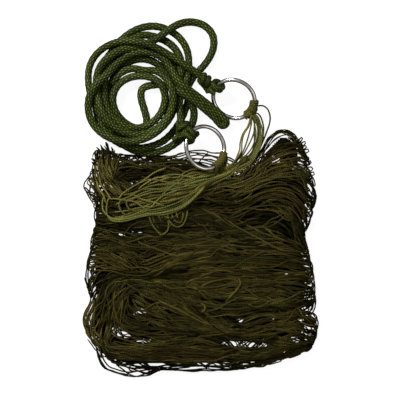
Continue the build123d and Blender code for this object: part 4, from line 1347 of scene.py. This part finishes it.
# crossings, loops and slack of the fan on the net
TOPS = [
    [(232, 170), (215, 178), (195, 182), (178, 190), (165, 195), (158, 200), (150, 208), (138, 213), (129, 216.5), (118, 218)],
    [(205, 180), (190, 183.5), (175, 184), (160, 184.5), (150, 186), (140, 190), (130, 196), (122, 200), (119.5, 204), (121, 210), (125, 214), (131, 215.5)],
    [(198, 184), (180, 188), (165, 191), (150, 193), (138, 197), (129, 200), (127.3, 204), (129.5, 208.5), (135, 210.5), (145, 210.5), (156, 209)],
    [(166, 167.5), (161, 169.5), (154, 173), (146.5, 178.5), (138, 184), (129, 189.5), (122, 195), (118, 200)],
    [(205, 186), (190, 200), (178, 207.5), (165, 212), (152, 214.5), (138, 217), (125, 220.5), (114, 220.8), (109.5, 218), (106.8, 212), (107.2, 203), (109, 197)],
    [(204, 188), (188, 203.5), (175, 210), (160, 213), (145, 214.3), (130, 218), (118, 219.5), (110, 217.5), (103.5, 211), (102.5, 203), (104, 196)],
    [(178, 183), (168, 182.5), (158, 180.5), (150, 180), (141, 183), (133, 187.5)],
    [(172, 178), (162, 177.5), (155, 178.5), (146, 183.5), (139, 189)],
    [(210, 176), (196, 177.5), (186, 176), (177, 174.5), (165, 176), (158, 179)],
    [(196, 172), (188, 174.5), (182, 178), (176, 184), (168, 190), (160, 198)],
    [(200, 168.5), (190, 170.5), (183, 175), (176, 181)],
    [(215, 170), (205, 172.5), (198, 173), (190, 174.5), (182, 179)],
    [(150, 202), (141, 199), (134, 194.5), (128, 194), (121, 196)],
    [(146, 209), (140, 205), (134, 201.5), (126, 200.5), (117, 199), (108, 199)],
    [(165, 205), (155, 203), (145, 200), (136, 198)],
    [(106, 203), (104, 196.5), (99.5, 189), (96.5, 181)],
    [(112, 200), (106, 192), (101, 184), (98, 176)],
    [(150, 190), (163, 189.5), (176, 189.5), (190, 188), (205, 182)],
    [(150, 195.5), (163, 195.5), (176, 195), (190, 192), (205, 186)],
    [(160, 202), (174, 200), (188, 196), (203, 188)],
]
for k, pts in enumerate(TOPS):
    clew(cs, pts, 0.82, rng.uniform(0.55, 0.95), rng.uniform(0.95, 1.2), 0.35, 3.4 + 0.25 * (k % 3), head=None)
# pale loops that hang over the fan's lower edge
for pts in [
    [(150, 209), (149.5, 216), (153.5, 225.7), (158, 231), (162, 234.5), (167, 231.5), (169.2, 226), (168, 219.5), (165, 213)],
    [(168, 210), (168.5, 217), (171.5, 223.5), (177, 226.8), (183, 224.5), (186.5, 217.5), (188, 208)],
    [(152, 211), (154, 219), (158, 226), (162, 229)],
    [(172, 210), (173, 217), (177, 221.5), (181, 222), (183, 216), (182, 209)],
    [(156, 211), (160, 218), (163, 225)],
    [(160, 211), (165, 216.5), (168.5, 222)],
    [(176, 212), (178, 217), (180, 223)],
]:
    clew(cs, pts, 0.8, rng.uniform(0.5, 0.8), rng.uniform(0.85, 1.05), 0.15, 1.6, head=None)

# the foot clew: out of the whipping's far side, under the head fan
for i in range(9):
    a = 300 + i * 5.2
    p, e = on_ring(FOOT, np.array([a]))
    x, y, z = p[0, 0] * 1000 + 200, 226 - p[0, 1] * 1000, p[0, 2] * 1000
    end = upper * (1 - i / 8) + lower * (i / 8)
    pts = [(x + 2.5, y + 1.5), (x + 3.5, y + 6.5), (x - 4, y + 13 + 0.6 * i)] + [tuple(q + np.array([0, 2.0])) for q in end[2:7]]
    clew(cf, pts, 0.85, rng.uniform(0.1, 0.45), rng.uniform(0.7, 0.95), 0.6, -0.4, head=(z - 1, 16))
for pts in [
    [(226, 157), (230, 157.5), (235, 160), (240, 163.5), (246, 166), (252, 169)],
    [(227, 159), (232, 161), (238, 164), (243, 167.5), (248, 172)],
    [(225, 162), (230, 164.5), (235, 168), (240, 173), (243, 178)],
    [(223, 165), (228, 168), (233, 172), (236, 178)],
    [(222, 167), (226, 171), (229, 176), (230, 183)],
]:
    clew(cf, pts, 0.85, rng.uniform(0.05, 0.35), 0.75, 0.4, 0.3, head=(6.5, 12))

fan = cs.build("clew_head_fan_strings", CLEW)
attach(fan, BODY)
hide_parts("clew_head_fan")
fan2 = cf.build("clew_foot_fan_strings", CLEW)
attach(fan2, BODY)
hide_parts("clew_foot_fan")

# ---------------------------------------------------------------- floor and light
bpy.ops.mesh.primitive_plane_add(size=8, location=(0, 0, -0.0004))
floor = bpy.context.object
floor.name = "floor"
fm, fnodes, flinks = new_material("floor")
fo = fnodes.new("ShaderNodeOutputMaterial")
fb = fnodes.new("ShaderNodeBsdfDiffuse")
fb.inputs["Color"].default_value = (0.22, 0.22, 0.22, 1)
fe = fnodes.new("ShaderNodeEmission")
fe.inputs["Color"].default_value = (1, 1, 1, 1)
fe.inputs["Strength"].default_value = 0.90
fa = fnodes.new("ShaderNodeAddShader")
flinks.new(fb.outputs[0], fa.inputs[0])
flinks.new(fe.outputs[0], fa.inputs[1])
# the sweep is white to the eye and throws little light back on the object
fd = fnodes.new("ShaderNodeBsdfDiffuse")
fd.inputs["Color"].default_value = (0.10, 0.10, 0.10, 1)
fp = fnodes.new("ShaderNodeLightPath")
fx = fnodes.new("ShaderNodeMixShader")
flinks.new(fp.outputs["Is Camera Ray"], fx.inputs[0])
flinks.new(fd.outputs[0], fx.inputs[1])
flinks.new(fa.outputs[0], fx.inputs[2])
flinks.new(fx.outputs[0], fo.inputs[0])
floor.data.materials.append(fm)

world = bpy.data.worlds.new("world")
scene.world = world
world.use_nodes = True
wn, wl = world.node_tree.nodes, world.node_tree.links
wn.clear()
wo = wn.new("ShaderNodeOutputWorld")
wb = wn.new("ShaderNodeBackground")
wt = wn.new("ShaderNodeTexCoord")
ws = wn.new("ShaderNodeSeparateXYZ")
wr = wn.new("ShaderNodeValToRGB")
wr.color_ramp.elements[0].position = 0.05
wr.color_ramp.elements[0].color = (0.10, 0.095, 0.09, 1)
wr.color_ramp.elements[1].position = 0.75
wr.color_ramp.elements[1].color = (1, 1, 1, 1)
wl.new(wt.outputs["Generated"], ws.inputs[0])
wl.new(ws.outputs[2], wr.inputs[0])
wl.new(wr.outputs[0], wb.inputs["Color"])
wb.inputs["Strength"].default_value = 0.36
wl.new(wb.outputs[0], wo.inputs[0])


def area(name, loc, size, power, color=(1, 1, 1)):
    d = bpy.data.lights.new(name, "AREA")
    d.shape = "RECTANGLE"
    d.size, d.size_y = size
    d.energy = power
    d.color = color
    o = bpy.data.objects.new(name, d)
    o.location = loc
    v = np.array([0, 0.02, 0]) - np.array(loc)
    o.rotation_euler = (
        math.acos(-v[2] / np.linalg.norm(v)),
        0,
        math.atan2(v[1], v[0]) - math.pi / 2,
    )
    scene.collection.objects.link(o)
    return o


area("key", (-0.80, 0.95, 1.15), (0.45, 0.35), 30.0, (1.0, 0.99, 0.97))
area("fill", (1.1, -0.5, 1.2), (1.2, 0.9), 4.0)
scene.view_settings.view_transform = "Standard"
scene.view_settings.look = "None"
scene.view_settings.exposure = 0.0
